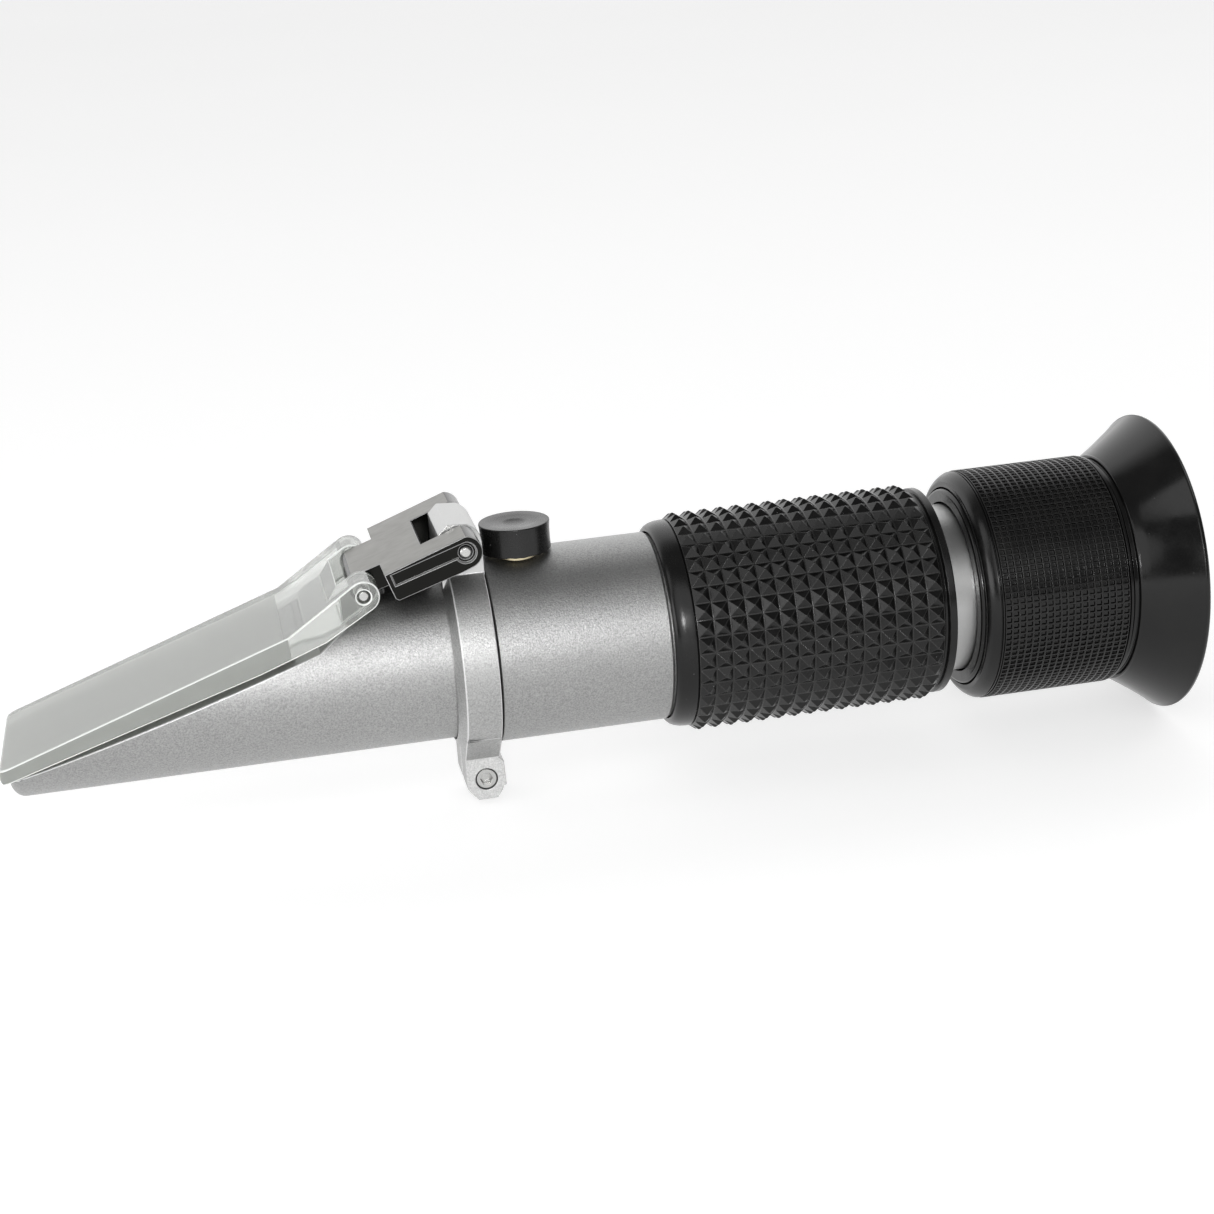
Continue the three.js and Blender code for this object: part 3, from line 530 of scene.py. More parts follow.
def build_housing(materials):
    body = as_object(turned([
        (NOSE_X, 0),
        *arc((NOSE_X + NOSE_ROUND, HOUSING_R - NOSE_ROUND), NOSE_ROUND, 180, 90, 10),
        *[(slant_station(k), HOUSING_R) for k in SLANT_FACETS],
        (JOINT_X - GAP, HOUSING_R),
        (JOINT_X - GAP, SPIGOT_R),
        (SPIGOT_END_X, SPIGOT_R),
        (SPIGOT_END_X, 0),
    ]))
    prism_room = PRISM_HALF_WIDTH + GAP
    cut(body, slant_tool())
    cut(body, extruded(prism_outline(GAP), -prism_room, prism_room))
    cut(body, pocket_tool(SEAL_ROOM, SEAL_ROOM_DEPTH, PRISM_HALF_WIDTH + SEAL_ROOM))
    cut(body, disc(POCKET_X1 - 2, BORES_END_X, LIGHT_BORE))
    cut(body, disc(OBJECTIVE_BORE_X, BORES_END_X, OBJECTIVE_BORE))
    cut(body, post(0, 20, BUSH_HOLE_R))
    # The rounded edges take the pale edge material, a painted highlight along them.
    soften(body, 0.22, 2, edge_material=1)
    give_faces(body, 3, on_slanted_land)
    give_faces(body, 2, in_prism_pocket)
    return piece("housing_body", body, "root", "satin_aluminium",
                 [materials["housing"], materials["polished_and_painted_glint"], materials["pocket"], materials["land"]],
                 "prism_housing")


def on_slanted_land(centre, normal):
    """The flat left by the slanted cut is machined bright, unlike the blasted outside."""
    return abs(centre.z - cut_height(centre.x)) < LAND_TOLERANCE and normal.z > FACING


def in_prism_pocket(centre, normal):
    """The faces of the pocket, short of the slant above it and of the round outside."""
    along = POCKET_X0 - POCKET_MARGIN < centre.x < POCKET_X1 + POCKET_MARGIN
    across = abs(centre.y) < PRISM_HALF_WIDTH + POCKET_MARGIN
    sunk = centre.z < cut_height(centre.x) - 0.3
    return along and across and sunk and math.hypot(centre.y, centre.z) < HOUSING_R - 0.5


def build_prism(materials):
    body = as_object(extruded(prism_outline(0), -PRISM_HALF_WIDTH, PRISM_HALF_WIDTH))
    soften(body, 0.25, 1)
    give_faces(body, 1, is_ground_face)
    return piece("prism_block", body, "root", "optical_glass",
                 [materials["glass"], materials["pocket"]], "prism")


def is_ground_face(centre, normal):
    """The prism's bottom, sides and front are ground and blackened. Its face and back are clear."""
    return normal.z < 0.5 and normal.x < 0.5


GRIP_SEAT_X0, GRIP_SEAT_X1, GRIP_SEAT_R = 8.3, 48.3, 13.2


def build_tube(materials):
    body = as_object(turned([
        (JOINT_X, TUBE_BORE),
        (JOINT_X, TUBE_R),
        (GRIP_SEAT_X0, TUBE_R),
        (GRIP_SEAT_X0, GRIP_SEAT_R),
        (GRIP_SEAT_X1, GRIP_SEAT_R),
        (GRIP_SEAT_X1, TUBE_BORE),
    ]))
    cut(body, post(5, 20, BUSH_HOLE_R))
    soften(body, 0.2, 2)
    return piece("tube_body", body, "root", "satin_aluminium", materials["tube"], "main_tube")


# ------------------------------------------------------------------ clamp ring

RING_X0, RING_X1, RING_R = -22.0, -16.05, 14.2
RING_CONE = 1.1
RING_BORE = HOUSING_R + GAP
KEEL_HALF_WIDTH, KEEL_Z = 5.3, -14.7
EAR_X0, EAR_X1 = -21.0, -15.4
EAR_HALF_DEPTH = KEEL_HALF_WIDTH
EAR_BOTTOM_Z = -20.95
CLAMP_AXIS = (-18.2, -17.9)
CLAMP_HEAD_R = 1.45
EAR_SPLIT = 0.5                # half the slit between the two ears
HEAD_SEAT_Y, CLAMP_HOLE_END_Y = -3.3, 4.3
LUG_X0 = -21.85
LUG_BACK_R = 3.0
LUG_HALF_WIDTH = 5.9


def keel():
    """Below, the ring leaves its round outline along two flats that run down to the ears."""
    reach = math.hypot(KEEL_HALF_WIDTH, KEEL_Z)
    angle = math.atan2(KEEL_HALF_WIDTH, -KEEL_Z) + math.acos(RING_R / reach)
    y, z = RING_R * math.sin(angle), -RING_R * math.cos(angle)
    outline = [(-y, z), (-KEEL_HALF_WIDTH, KEEL_Z), (KEEL_HALF_WIDTH, KEEL_Z), (y, z)]
    return lengthwise(outline, EAR_X0, RING_X1)


def clamp_ears():
    chamfer, rise = 1.4, 1.75
    return extruded([
        (EAR_X0, -HOUSING_R),
        (EAR_X0, EAR_BOTTOM_Z + rise),
        (EAR_X0 + chamfer, EAR_BOTTOM_Z),
        (EAR_X1 - chamfer, EAR_BOTTOM_Z),
        (EAR_X1 - 0.6, EAR_BOTTOM_Z + rise - 0.6),
        (EAR_X1 - 0.4, EAR_BOTTOM_Z + rise),
        (EAR_X1, EAR_BOTTOM_Z + rise),
        (EAR_X1 - 0.1, KEEL_Z - 0.8),
        (RING_X1 - GAP, KEEL_Z + 0.1),
        (RING_X1 - GAP, -HOUSING_R),
    ], -EAR_HALF_DEPTH, EAR_HALF_DEPTH)


def hinge_lug():
    foot = HOUSING_R - 1
    return extruded([
        (LUG_X0, foot),
        (REAR_PIN[0] + LUG_BACK_R, foot),
        *arc((REAR_PIN[0], REAR_PIN[1] - 0.6), LUG_BACK_R, 0, 70, 14),
        (REAR_PIN[0] - 1.65, 20.2),
        (LUG_X0, 18.9),
    ], -LUG_HALF_WIDTH, LUG_HALF_WIDTH)


def build_clamp(materials):
    body = as_object(turned([
        (RING_X0, RING_BORE),
        (RING_X0 + RING_CONE, RING_R),
        (RING_X1, RING_R),
        (RING_X1, RING_BORE),
    ]))
    weld(body, keel(), clamp_ears(), hinge_lug())
    cut(body, disc(-30, -10, RING_BORE, SIDES))
    cut(body, turned([(JOINT_X - GAP, 9), (JOINT_X - GAP, TUBE_R + GAP), (0, TUBE_R + GAP), (0, 9)]))
    cut(body, block(RING_X0 - 1, EAR_X1 + 1, -EAR_SPLIT, EAR_SPLIT, EAR_BOTTOM_Z - 1, 0))
    cut(body, rod(REAR_PIN, PIN_HOLE_R, -10, 10), rod(CLAMP_AXIS, PIN_HOLE_R, -10, CLAMP_HOLE_END_Y),
        rod(CLAMP_AXIS, CLAMP_HEAD_R + PIN_PLAY, -10, HEAD_SEAT_Y))
    # The rounded edges take the pale edge material, a painted highlight along them.
    soften(body, 0.13, 2, edge_material=3)
    give_faces(body, 1, on_ear)
    give_faces(body, 2, on_lug)
    return piece("clamp_body", body, "root", "bright_aluminium",
                 [materials["ring"], materials["ear"], materials["lug"], materials["polished_and_painted_glint"]],
                 "clamp_ring")


def on_ear(centre, normal):
    return centre.z < KEEL_Z and (abs(normal.y) > FACING or centre.x > RING_X1)


def on_lug(centre, normal):
    return centre.z > RING_R + 0.4


def build_clamp_bolt(materials):
    head_face, head_back, end = -EAR_HALF_DEPTH + 0.15, -3.6, 4.0
    socket_r, socket_depth = 0.9, 0.9
    body = as_object(crosswise(turned([
        (head_face, 0),
        (head_face, CLAMP_HEAD_R),
        (head_back, CLAMP_HEAD_R),
        (head_back, PIN_R),
        (end, PIN_R),
        (end, 0),
    ], PIN_SIDES), CLAMP_AXIS))
    cut(body, rod(CLAMP_AXIS, socket_r, head_face - 1, head_face + socket_depth, 6))
    soften(body, 0.1, 2)
    return piece("clamp_bolt", body, "root", "steel", materials["steel"], "clamp_screw")


# ------------------------------------------------------------------ hinge link

LINK_ANGLE = math.atan2(REAR_PIN[1] - FRONT_PIN[1], REAR_PIN[0] - FRONT_PIN[0])
LINK_LENGTH = math.hypot(REAR_PIN[0] - FRONT_PIN[0], REAR_PIN[1] - FRONT_PIN[1])
LINK_HALF_WIDTH = 12.0
TONGUE_HALF_WIDTH = 6.2
SHOULDER = 3.7
LINK_TOP = 1.7
LINK_CEILING = -0.9            # the underside of its flat top, from the line of the pins
SLOT_FRONT = 9.8
SLOT_HALF_WIDTH = 6.2
RIB_HALF_WIDTH = 7.4
ARM_INSIDE_Y = 9.6
PANEL_DEPTH = 0.45


def on_link(along, above):
    """A side-view point given along the line of the two pins, from the front one, and above it."""
    return (FRONT_PIN[0] + along * math.cos(LINK_ANGLE) - above * math.sin(LINK_ANGLE),
            FRONT_PIN[1] + along * math.sin(LINK_ANGLE) + above * math.cos(LINK_ANGLE))


def link_box(start, end, low, high):
    """A side-view box in line with the link, from start to end along it."""
    return [on_link(start, low), on_link(end, low), on_link(end, high), on_link(start, high)]


def link_panel():
    """The sunk panel in the side of each arm, ending in a round recess about the rear pin."""
    tilt = math.degrees(LINK_ANGLE)
    return [
        on_link(SHOULDER + 0.8, -0.3),
        on_link(LINK_LENGTH - 1.3, -0.3),
        *arc(REAR_PIN, 1.45, 200 + tilt, 430 + tilt, 20),
        on_link(SHOULDER + 0.8, 1.3),
    ]


def link_hollows():
    """Room under the link: across its front, and beside the slot, where a rib is left each side."""
    def hollow(start, end, y0, y1):
        return extruded(link_box(start, end, -5, LINK_CEILING), y0, y1)

    rear = LINK_LENGTH + 6
    return [
        hollow(SHOULDER - 1, SLOT_FRONT - 1, -ARM_INSIDE_Y, ARM_INSIDE_Y),
        hollow(SLOT_FRONT - 2, rear, -ARM_INSIDE_Y, -RIB_HALF_WIDTH),
        hollow(SLOT_FRONT - 2, rear, RIB_HALF_WIDTH, ARM_INSIDE_Y),
    ]


def build_link(materials):
    tilt = math.degrees(LINK_ANGLE)
    body = as_object(extruded([
        on_link(SHOULDER, LINK_TOP),
        on_link(SHOULDER + 0.1, -2.0),
        on_link(SHOULDER + 0.5, -2.4),
        on_link(LINK_LENGTH - 1.5, -2.4),
        *arc(REAR_PIN, 2.3, -90 + tilt, 70 + tilt, 18),
        on_link(LINK_LENGTH - 0.4, 2.1),
    ], -LINK_HALF_WIDTH, LINK_HALF_WIDTH))
    cut(body, *link_hollows())
    tongue = extruded([
        *arc(FRONT_PIN, LINK_TOP, 90 + tilt, 270 + tilt, 20),
        on_link(SHOULDER + 2, -LINK_TOP),
        on_link(SHOULDER + 2, LINK_TOP),
    ], -TONGUE_HALF_WIDTH, TONGUE_HALF_WIDTH)
    weld(body, tongue)
    slot = link_box(SLOT_FRONT, LINK_LENGTH + 8, -6, 6)
    cut(body, extruded(slot, -SLOT_HALF_WIDTH, SLOT_HALF_WIDTH))
    cut(body, extruded(link_panel(), -LINK_HALF_WIDTH - 1, -LINK_HALF_WIDTH + PANEL_DEPTH))
    cut(body, extruded(link_panel(), LINK_HALF_WIDTH - PANEL_DEPTH, LINK_HALF_WIDTH + 1))
    for pin in (REAR_PIN, FRONT_PIN):
        cut(body, rod(pin, PIN_HOLE_R, -15, 15))
    # Its rounded edges take the pale edge material, a painted highlight.
    soften(body, 0.12, 2, edge_material=2)
    up = Vector((-math.sin(LINK_ANGLE), 0, math.cos(LINK_ANGLE)))
    give_faces(body, 1, lambda centre, normal: normal.dot(up) > 0.95 and centre.z > 12)
    return piece("link_body", body, "link", "black_chrome",
                 [materials["link_side"], materials["link_top"], materials["link_edge_painted_glint"]], "hinge_link")


def build_pin(name, centre, half_length, node, materials):
    """A plain pin with flat, chamfered ends."""
    chamfer, face_r = 0.2, 0.58
    body = as_object(crosswise(turned([
        (-half_length, 0),
        (-half_length, face_r),
        (-half_length + chamfer, PIN_R),
        (half_length - chamfer, PIN_R),
        (half_length, face_r),
        (half_length, 0),
    ], PIN_SIDES), centre))
    soften(body, 0.06, 2)
    return piece(name, body, "link", "steel", materials["steel"], node)


# ------------------------------------------------------------------ daylight plate

PLATE_HALF_WIDTH = 11.8
PLATE_NOSE_X = -83.9
EAR_R = 2.2
BEND_X = -43.75
FROST_END_X = -43.6            # the underside is frosted as far as here
TONGUE_ROOM_X, TONGUE_ROOM_HALF_WIDTH = -36.3, 6.5


def plate_side_outline():
    return [
        (-83.5, -6.72), (-48.0, 4.15), (FROST_END_X, 5.72), (-38.75, 7.5),
        *arc(FRONT_PIN, EAR_R, -58, 122, 24),
        (BEND_X, 9.0),
        (-83.55, -4.6), (-83.9, -4.95), (-83.9, -6.3),
    ]


def plate_plan_outline():
    """The plate seen from above: rounded corners at the nose."""
    corner, x_back = 1.5, -28
    near = arc((PLATE_NOSE_X + corner, -PLATE_HALF_WIDTH + corner), corner, 180, 270, 8)
    far = arc((PLATE_NOSE_X + corner, PLATE_HALF_WIDTH - corner), corner, 90, 180, 8)
    return [*near, (x_back, -PLATE_HALF_WIDTH), (x_back, PLATE_HALF_WIDTH), *far]


def build_plate(materials):
    wide = PLATE_HALF_WIDTH + 2
    body = as_object(extruded(plate_side_outline(), -wide, wide))
    combine(body, [standing(plate_plan_outline(), -20, 30)], "INTERSECT")
    cut(body, block(TONGUE_ROOM_X, 0, -TONGUE_ROOM_HALF_WIDTH, TONGUE_ROOM_HALF_WIDTH, 0, 25))
    cut(body, rod(FRONT_PIN, PIN_HOLE_R, -15, 15))
    # Its rounded edges take the lighter edge acrylic, a painted highlight.
    soften(body, 0.2, 2, edge_material=2)
    give_faces(body, 1, lambda centre, normal: normal.z < -0.6 and centre.x < -44)
    return piece("plate_body", body, "plate", "clear_acrylic",
                 [materials["acrylic"], materials["frosted"], materials["plate_edge_painted_glint"]],
                 "daylight_plate")


# ------------------------------------------------------------------ calibration screw and cap


CAP_R = 5.0
CAP_BOTTOM, CAP_TOP = 13.9, 18.0
FLANGE_R, FLANGE_TOP = 3.9, 14.3
COLLAR_R, COLLAR_TOP = 3.1, 15.2
BUSH_R, BUSH_FOOT_Z, COLLAR_FOOT_Z = 2.4, 10.0, 13.9
SCREW_R, SCREW_HOLE_R, SCREW_TOP = 1.35, 1.47, 15.0
SCREW_SLOT = 0.3               # half the width of the slot in its head


def build_cap(materials):
    """The side is slightly waisted, the rim rounded and the top dished."""
    side_r, waist, rim = CAP_R - 0.06, 0.05, 0.16
    side = [(CAP_BOTTOM + (CAP_TOP - CAP_BOTTOM) * t, side_r - waist * math.sin(math.pi * t))
            for t in (0.25, 0.5, 0.75)]
    edge = [(CAP_TOP - rim + rim * math.sin(a), CAP_R - rim + rim * math.cos(a))
            for a in (0.0, 0.5, 1.0, 1.57)]
    dish = [(CAP_TOP - drop, r) for drop, r in ((0.02, 4.0), (0.1, 3.2), (0.16, 2.2), (0.2, 1.7),
                                                (0.36, 1.4), (0.42, 0.7), (0.43, 0))]
    outline = [(CAP_BOTTOM, 0), (CAP_BOTTOM, side_r), *side, *edge, *dish]
    body = as_object(upright(turned(outline, MEDIUM_SIDES)))
    ragged_foot(body)
    cut(body, post(5, FLANGE_TOP + GAP, FLANGE_R + GAP))
    cut(body, post(5, COLLAR_TOP + 0.9, COLLAR_R + GAP))
    soften(body, 0.1, 2)
    return piece("cap_body", body, "cap", "cap_rubber", materials["cap"], "screw_cap")


def ragged_foot(body):
    """The cap's moulded foot isn't quite even: it rises and falls by under 0.1 mm."""
    for vert in body.data.vertices:
        if vert.co.z < CAP_BOTTOM + 0.01 and math.hypot(vert.co.x - CAP_X, vert.co.y) > CAP_R - 0.5:
            angle = math.atan2(vert.co.y, vert.co.x - CAP_X)
            vert.co.z += 0.035 * math.sin(9 * angle) + 0.03 * math.sin(23 * angle + 1)


def build_bush(materials):
    flange = as_object(post(12.0, FLANGE_TOP, FLANGE_R, MEDIUM_SIDES))
    cut(flange, disc(-20, 0, TUBE_R + GAP, SIDES))
    weld(flange, upright(turned([
        (BUSH_FOOT_Z, 0),
        (BUSH_FOOT_Z, BUSH_R),
        (COLLAR_FOOT_Z, BUSH_R),
        (COLLAR_FOOT_Z, COLLAR_R),
        (COLLAR_TOP, COLLAR_R),
        (COLLAR_TOP, 0),
    ], SMALL_SIDES)))
    cut(flange, post(5, 20, SCREW_HOLE_R))
    soften(flange, 0.12, 2)
    return piece("bush_body", flange, "root", "brass", materials["brass"], "screw_bush")


def build_screw(materials):
    tip, tip_r, chamfer_end = 8.3, 1.1, 8.6
    body = as_object(upright(turned([
        (tip, 0),
        (tip, tip_r),
        (chamfer_end, SCREW_R),
        (SCREW_TOP, SCREW_R),
        (SCREW_TOP, 0),
    ], PIN_SIDES)))
    cut(body, block(CAP_X - 3, CAP_X + 3, -SCREW_SLOT, SCREW_SLOT, 14.1, 16))
    soften(body, 0.08, 2)
    return piece("screw_body", body, "adjuster", "brass", materials["brass"], "calibration_screw")


# ------------------------------------------------------------------ grip and knurled ring


def add_studs(bm, rows, columns, x0, x1, valley_r, tip_r, foot, top, inner_r):
    """Adds a closed sleeve with rows x columns four-sided studs. foot and top are shares of a cell."""
    pitch, step = (x1 - x0) / rows, TURN / columns

    def corner(i, j, r, share, du, dv):
        """A vertex of cell (i, j): share is how much of the half cell it reaches from the centre."""
        x = x0 + (i + 0.5 + 0.5 * share * du) * pitch
        a = (j + 0.5 + 0.5 * share * dv) * step
        return bm.verts.new((x, r * math.cos(a), r * math.sin(a)))

    def valley(i, j):
        a = j * step
        return bm.verts.new((x0 + i * pitch, valley_r * math.cos(a), valley_r * math.sin(a)))

    grid = [[valley(i, j) for j in range(columns)] for i in range(rows + 1)]
    signs = [(-1, -1), (1, -1), (1, 1), (-1, 1)]
    for i in range(rows):
        for j in range(columns):
            k = (j + 1) % columns
            outer = [grid[i][j], grid[i + 1][j], grid[i + 1][k], grid[i][k]]
            base = [corner(i, j, valley_r, foot, du, dv) for du, dv in signs]
            crest = [corner(i, j, tip_r, top, du, dv) for du, dv in signs]
            for lower, upper in ((outer, base), (base, crest)):
                for c in range(4):
                    d = (c + 1) % 4
                    bm.faces.new([lower[c], lower[d], upper[d], upper[c]])
            bm.faces.new(crest)
    close_sleeve(bm, grid[0], grid[-1], inner_r)


def close_sleeve(bm, first, last, inner_r):
    """Closes a skin of studs with two end walls and an inner wall."""
    def inward(ring):
        made = []
        for vert in ring:
            shrink = inner_r / math.hypot(vert.co.y, vert.co.z)
            made.append(bm.verts.new((vert.co.x, vert.co.y * shrink, vert.co.z * shrink)))
        return made

    loops = [first, inward(first), inward(last), last]
    for near, far in zip(loops, loops[1:]):
        for j in range(len(first)):
            k = (j + 1) % len(first)
            bm.faces.new([near[j], near[k], far[k], far[j]])


STUD_ROWS, STUD_COLUMNS = 15, 40
STUD_X0, STUD_X1 = 11.67, 47.1
STUD_VALLEY_R, STUD_TIP_R, STUD_INNER_R = 15.0, 15.7, 14.5
STUD_FOOT, STUD_TOP = 0.94, 0.1        # shares of a cell
GRIP_R = 14.9                          # the smooth bands at the ends


def build_grip(materials):
    core = turned([
        (8.6, 13.5), (8.6, 13.8), (8.72, 14.12), (9.0, 14.4), (9.5, 14.66), (10.2, 14.84), (11.0, GRIP_R),
        (11.45, GRIP_R), (11.5, 14.7), (11.62, 14.7), (STUD_X0, GRIP_R), (STUD_X1, GRIP_R), (47.3, 14.6),
        (47.65, 14.55), (47.8, 14.85), (47.95, 15.02), (48.8, 15.02), (48.95, 14.95), (49.0, 14.8),
        (49.0, 12.8), (48.85, 12.6), (48.6, 12.6), (48.6, 13.5),
    ])
    bmesh.ops.recalc_face_normals(core, faces=core.faces)
    studs = bmesh.new()
    add_studs(studs, STUD_ROWS, STUD_COLUMNS, STUD_X0, STUD_X1, STUD_VALLEY_R, STUD_TIP_R,
              STUD_FOOT, STUD_TOP, STUD_INNER_R)
    bmesh.ops.recalc_face_normals(studs, faces=studs.faces)
    core_object = as_object(core)
    soften(core_object, 0.05, 1)
    stud_object = as_object(studs)
    # The studs' rounded edges take the lighter edge rubber, a painted highlight.
    soften(stud_object, 0.04, 2, 20, edge_material=1)
    body = joined(core_object, stud_object, [materials["grip"], materials["grip_painted_glint_edge"]])
    return piece("grip_body", body, "root", "grip_rubber", [], "rubber_grip")


def joined(first, second, materials):
    """One object out of two, keeping both shadings, with the materials of both."""
    for part in (first, second):
        give_materials(part, materials)
    with bpy.context.temp_override(active_object=first, selected_editable_objects=[first, second]):
        bpy.ops.object.join()
    return first


BARREL_R, BARREL_BORE = 12.2, 10.2
BARREL_X0, BARREL_SHOULDER_X, BARREL_X1 = 38.3, 49.3, 66.8
CELL_R, CELL_X0, CELL_X1 = 9.9, 52.4, 74.6
CELL_BORE = 8.8
FLANGE_X0, FLANGE_X1, CELL_FLANGE_R = 71.4, 72.8, 11.8
SLEEVE_X0, SLEEVE_R = 52.7, 14.4
FOCUS_X0, FOCUS_X1, FOCUS_R = 53.2, 74.6, 16.8
NECK_X0, NECK_R = 74.9, 16.1
FLARE_X0, FLARE_R = 75.8, 16.7
RIM_X, RIM_R = 83.9, 21.8


def build_barrel(materials):
    body = as_object(turned([
        (BARREL_X0, BARREL_BORE), (BARREL_X0, SPIGOT_R), (BARREL_SHOULDER_X, SPIGOT_R),
        (BARREL_SHOULDER_X, BARREL_R), (BARREL_X1, BARREL_R), (BARREL_X1, BARREL_BORE),
    ]))
    soften(body, 0.1, 2)
    return piece("barrel_body", body, "root", "satin_aluminium", materials["barrel"],
                 "eyepiece_barrel", "focus_o_ring")


def build_sleeve(materials):
    end, step = FOCUS_X1 - 0.2, 13.4
    body = as_object(turned([
        (SLEEVE_X0, BARREL_R + GAP), (SLEEVE_X0, SLEEVE_R - 0.7),
        *arc((SLEEVE_X0 + 0.6, SLEEVE_R - 0.6), 0.6, 170, 90, 6),
        (end, SLEEVE_R), (end, step), (FLANGE_X0 - GAP, step), (FLANGE_X0 - GAP, CELL_R + GAP),
        (69.6, CELL_R + GAP), (69.6, BARREL_R + GAP),
    ]))
    soften(body, 0.06, 2)
    return piece("sleeve_body", body, "focus", "focus_black", materials["focus"], "focus_sleeve")


KNURL_X0, KNURL_X1 = 55.4, 73.9
KNURL_ROWS, KNURL_COLUMNS = 18, 118
KNURL_PIT_R, KNURL_INNER_R = 16.48, 16.0
KNURL_FOOT, KNURL_TOP = 0.78, 0.56     # shares of a cell


def build_focus_ring(materials):
    bore, land = SLEEVE_R + 0.2, FOCUS_R - 0.12
    core = as_object(turned([
        (FOCUS_X0, bore), (FOCUS_X0, 15.15), (FOCUS_X0 + 0.08, 15.4), (FOCUS_X0 + 0.35, 15.85),
        (FOCUS_X0 + 0.7, 16.2), (FOCUS_X0 + 1.1, 16.48), (FOCUS_X0 + 1.5, land), (FOCUS_X0 + 1.65, land),
        (FOCUS_X0 + 1.72, land - 0.25), (FOCUS_X0 + 1.86, land - 0.25), (FOCUS_X0 + 1.92, land - 0.05),
        (KNURL_X0 - 0.05, land - 0.05), (KNURL_X0, 16.35), (KNURL_X1, 16.35), (KNURL_X1 + 0.05, 16.3),
        (KNURL_X1 + 0.2, 16.3), (KNURL_X1 + 0.25, land), (FOCUS_X1 - 0.1, land), (FOCUS_X1, land - 0.1),
        (FOCUS_X1, bore),
    ]))
    soften(core, 0.04, 1)
    studs = bmesh.new()
    add_studs(studs, KNURL_ROWS, KNURL_COLUMNS, KNURL_X0, KNURL_X1, FOCUS_R, KNURL_PIT_R,
              KNURL_FOOT, KNURL_TOP, KNURL_INNER_R)
    bmesh.ops.recalc_face_normals(studs, faces=studs.faces)
    skin = as_object(studs)
    # The knurl's rounded edges take the lighter edge rubber, a painted highlight.
    soften(skin, 0.035, 1, 20, edge_material=1)
    body = joined(core, skin, [materials["focus"], materials["knurl_painted_glint_edge"]])
    return piece("focus_ring_body", body, "focus", "focus_black", [], "focus_ring")


def build_eyecup(materials):
    bead = arc((FLARE_X0 + 0.05, FLARE_R - 0.28), 0.28, 165, 80, 6)
    flare, steps = [], 12
    for i in range(1, steps + 1):
        t = i / steps
        flare.append((FLARE_X0 + 0.15 + (RIM_X - 0.9 - FLARE_X0) * t,
                      FLARE_R + (RIM_R - 0.12 - FLARE_R) * (0.88 * t + 0.12 * t * t)))
    rim = arc((RIM_X - 0.6, RIM_R - 0.6), 0.6, 100, -30, 8)
    bowl = [(83.0, 20.2), (81.9, 19.0), (80.5, 17.6), (79.2, 16.4), (78.0, 15.0), (77.1, 13.7),
            (76.6, 12.4), (76.5, 10.3)]
    body = as_object(turned([
        (NECK_X0, 13.2), (NECK_X0, NECK_R), (FLARE_X0 - 0.3, NECK_R), *bead, *flare, *rim, *bowl,
        (75.4, 10.3), (75.4, 12.1), (73.3, 12.1), (73.3, 13.2),
    ]))
    soften(body, 0.06, 2, 40)
    return piece("eyecup_body", body, "focus", "eyecup_rubber", materials["eyecup"], "eyecup")


# ------------------------------------------------------------------ eyepiece optics


def lens_outline(x0, edge, bulge, radius, steps=10):
    """A lens with two bulging faces, edge millimetres thick at its rim."""
    outward = range(steps + 1)
    left = [(x0 - bulge * (1 - (i / steps) ** 2), radius * i / steps) for i in outward]
    right = [(x0 + edge + bulge * (1 - (i / steps) ** 2), radius * i / steps) for i in outward]
    return left + right[::-1]


def build_eyepiece_optics(materials):
    lip_x, lip_r = CELL_X0 + 2.4, 7.2
    cell = as_object(turned([
        (CELL_X0, lip_r), (CELL_X0, CELL_R), (FLANGE_X0, CELL_R), (FLANGE_X0, CELL_FLANGE_R),
        (FLANGE_X1, CELL_FLANGE_R), (FLANGE_X1, CELL_R), (CELL_X1, CELL_R), (CELL_X1, CELL_BORE),
        (lip_x, CELL_BORE), (lip_x, lip_r),
    ], MEDIUM_SIDES))
    soften(cell, 0.1, 2)
    piece("lens_cell_body", cell, "eyepiece", "black_anodised", materials["anodised"], "lens_cell")
    eye_lens = as_object(turned(lens_outline(68.4, 2.6, 1.1, 8.5), MEDIUM_SIDES))
    soften(eye_lens, 0.1, 2, 40)
    piece("eye_lens_body", eye_lens, "eyepiece", "optical_glass", materials["glass"], "eye_lens")
    face = CELL_X1
    retainer = as_object(turned([(face - 2.2, 6.8), (face - 2.2, 8.5), (face, 8.5), (face, 7.1),
                                 (face - 0.3, 6.8)], MEDIUM_SIDES))
    cut(retainer, block(face - 0.8, face + 0.8, -0.5, 0.5, -9, 9))
    soften(retainer, 0.08, 2)
    piece("retainer_body", retainer, "eyepiece", "black_anodised", materials["anodised"],
          "lens_retainer")


# ------------------------------------------------------------------ carried-over CAD nodes

KEPT_NODES = {
    "seal": ["prism_seal"],
    "anodised": ["objective_holder", "objective_retainer", "field_stop", "reticle_ring", "lens_spacer"],
    "glass": ["objective_lens", "reticle", "field_lens"],
    "brass": ["bimetal_strip"],
    "spring": ["calibration_spring", "reticle_clip"],
    "steel": ["guide_pin"],
}


def dress_kept_nodes(materials):
    for key, names in KEPT_NODES.items():
        for name in names:
            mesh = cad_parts[name].data
            mesh.materials.clear()
            mesh.materials.append(materials[key])


# ------------------------------------------------------------------ stage, light and camera

CAMERA_AZIMUTH, CAMERA_ELEVATION, CAMERA_ROLL = -9.8586, 18.3226, -4.2375
CAMERA_PLACE = Vector((-52.152, -310.554, 107.979)) * MM
CAMERA_LENS, SENSOR_WIDTH = 69.04, 36
CAMERA_NEAR, CAMERA_FAR = 0.01, 20
FLOOR_REACH, FLOOR_GAP = 5.0, 0.0002


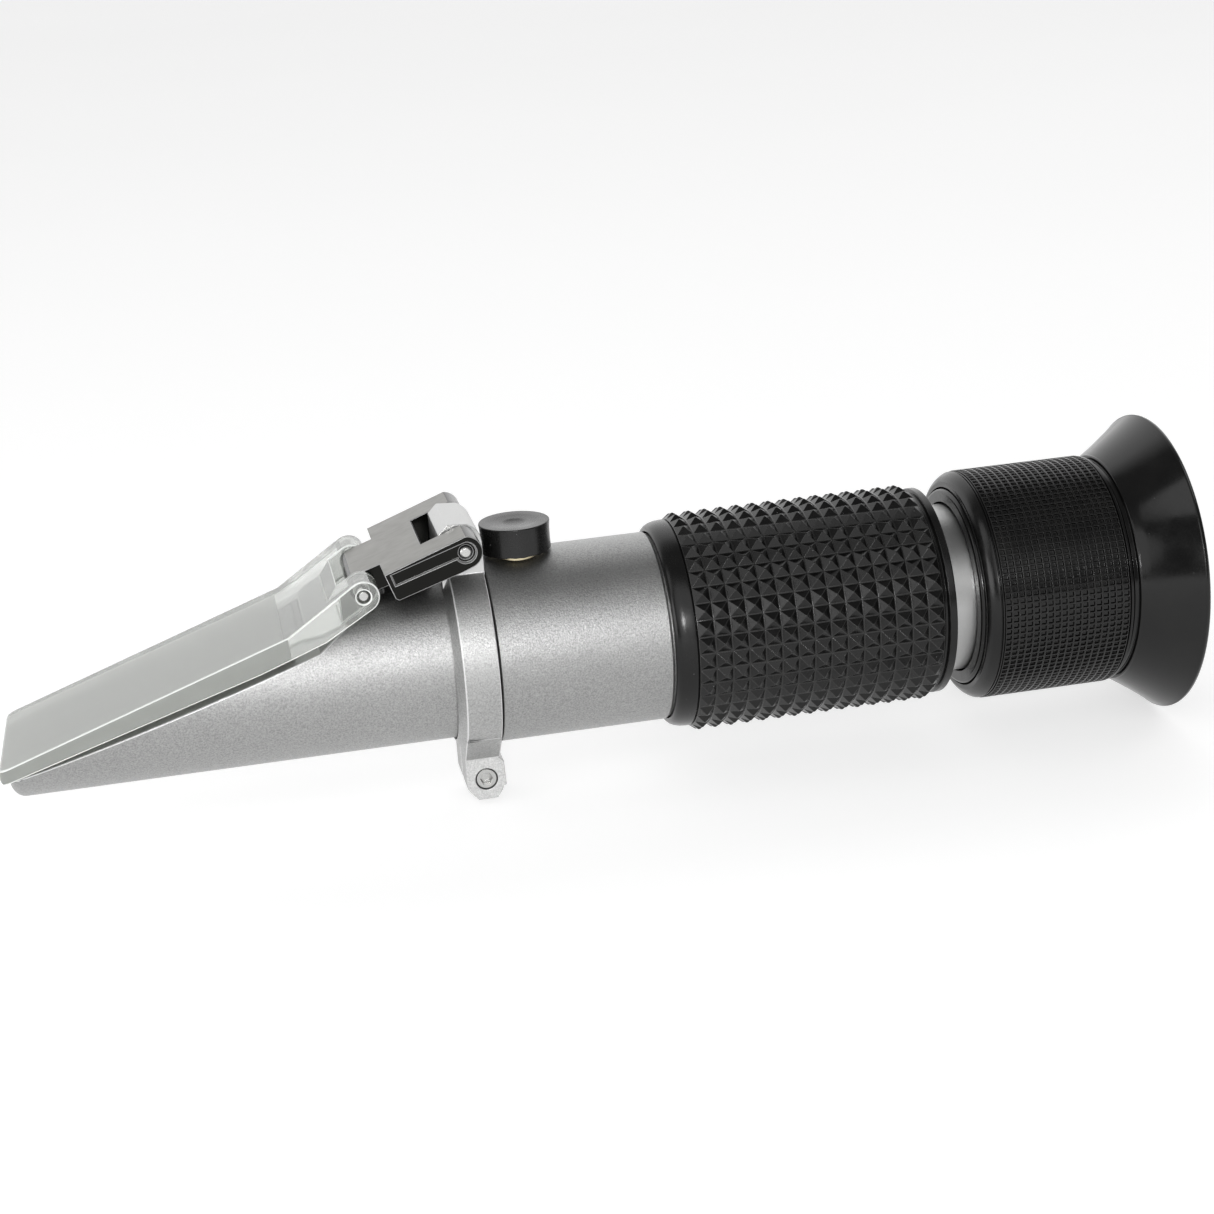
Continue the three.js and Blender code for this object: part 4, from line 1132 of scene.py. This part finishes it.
def camera_axes(azimuth, elevation, roll):
    a, e, r = (math.radians(v) for v in (azimuth, elevation, roll))
    back = Vector((math.sin(a) * math.cos(e), -math.cos(a) * math.cos(e), math.sin(e)))
    level = Vector((math.cos(a), math.sin(a), 0))
    up = back.cross(level)
    right = math.cos(r) * level + math.sin(r) * up
    return right, math.cos(r) * up - math.sin(r) * level, back


def add_camera():
    data = bpy.data.cameras.new("camera")
    data.lens = CAMERA_LENS
    data.sensor_width = SENSOR_WIDTH
    data.clip_start, data.clip_end = CAMERA_NEAR, CAMERA_FAR
    camera = bpy.data.objects.new("camera", data)
    right, up, back = camera_axes(CAMERA_AZIMUTH, CAMERA_ELEVATION, CAMERA_ROLL)
    turn = Matrix((right, up, back)).transposed().to_4x4()
    camera.matrix_world = Matrix.Translation(CAMERA_PLACE) @ turn
    bpy.context.scene.collection.objects.link(camera)
    bpy.context.scene.camera = camera


def add_floor():
    reach, z = FLOOR_REACH, CAD_BOX[0].z - FLOOR_GAP
    bm = bmesh.new()
    corners = [(-reach, -reach, z), (reach, -reach, z), (reach, reach, z), (-reach, reach, z)]
    bm.faces.new([bm.verts.new(c) for c in corners])
    floor = as_object(bm, "floor")
    n = Nodes("floor_white")
    paper = n.grain(300.0, 2.0)
    floor.data.materials.append(n.done(
        Base_Color=n.blend(paper, grey(0.58), grey(0.62)), Roughness=0.9,
        Emission_Color=grey(1.0), Emission_Strength=0.57))


def add_area_light(name, place, target, size, power):
    data = bpy.data.lights.new(name, "AREA")
    data.shape = "DISK"
    data.size = size
    data.energy = power
    light = bpy.data.objects.new(name, data)
    light.location = place
    light.rotation_mode = "QUATERNION"
    light.rotation_quaternion = (Vector(target) - Vector(place)).to_track_quat("-Z", "Y")
    bpy.context.scene.collection.objects.link(light)


def add_world():
    """A pale room: bright behind the object, darker overhead and on the camera's side."""
    world = bpy.data.worlds.new("studio")
    world.use_nodes = True
    bpy.context.scene.world = world
    tree = world.node_tree
    coords = tree.nodes.new("ShaderNodeTexCoord").outputs["Generated"]
    split = tree.nodes.new("ShaderNodeSeparateXYZ")
    tree.links.new(coords, split.inputs[0])
    ramp = tree.nodes.new("ShaderNodeMapRange")
    tree.links.new(split.outputs["Y"], ramp.inputs["Value"])
    for name, value in (("From Min", 0.38), ("From Max", 0.62), ("To Min", 0.2), ("To Max", 1.3)):
        ramp.inputs[name].default_value = value
    tree.nodes["Background"].inputs["Color"].default_value = grey(1.0)
    tree.links.new(ramp.outputs[0], tree.nodes["Background"].inputs["Strength"])


def add_lights():
    centre = (0, 0, 0)
    add_area_light("key", (-0.1, -0.62, 0.34), centre, 0.9, 2.3)
    add_area_light("flash", (-0.1, -0.68, 0.24), centre, 0.12, 1.5)
    add_area_light("side", (-0.85, -0.3, 0.12), centre, 0.6, 2.6)
    add_area_light("left", (-0.9, -0.2, 0.8), centre, 0.6, 1.2)
    add_area_light("right", (0.9, 0.0, 0.8), centre, 0.6, 1.2)


# ------------------------------------------------------------------ the scene


def build():
    bpy.context.scene.view_settings.view_transform = "Standard"
    materials = make_materials()
    build_housing(materials)
    build_prism(materials)
    build_tube(materials)
    build_clamp(materials)
    build_clamp_bolt(materials)
    build_link(materials)
    build_pin("rear_pin", REAR_PIN, 11.9, "hinge_pin_rear", materials)
    build_pin("front_pin", FRONT_PIN, 11.4, "hinge_pin_front", materials)
    build_plate(materials)
    build_cap(materials)
    build_bush(materials)
    build_screw(materials)
    build_grip(materials)
    build_barrel(materials)
    build_sleeve(materials)
    build_focus_ring(materials)
    build_eyecup(materials)
    build_eyepiece_optics(materials)
    dress_kept_nodes(materials)
    add_floor()
    add_world()
    add_lights()
    add_camera()


build()
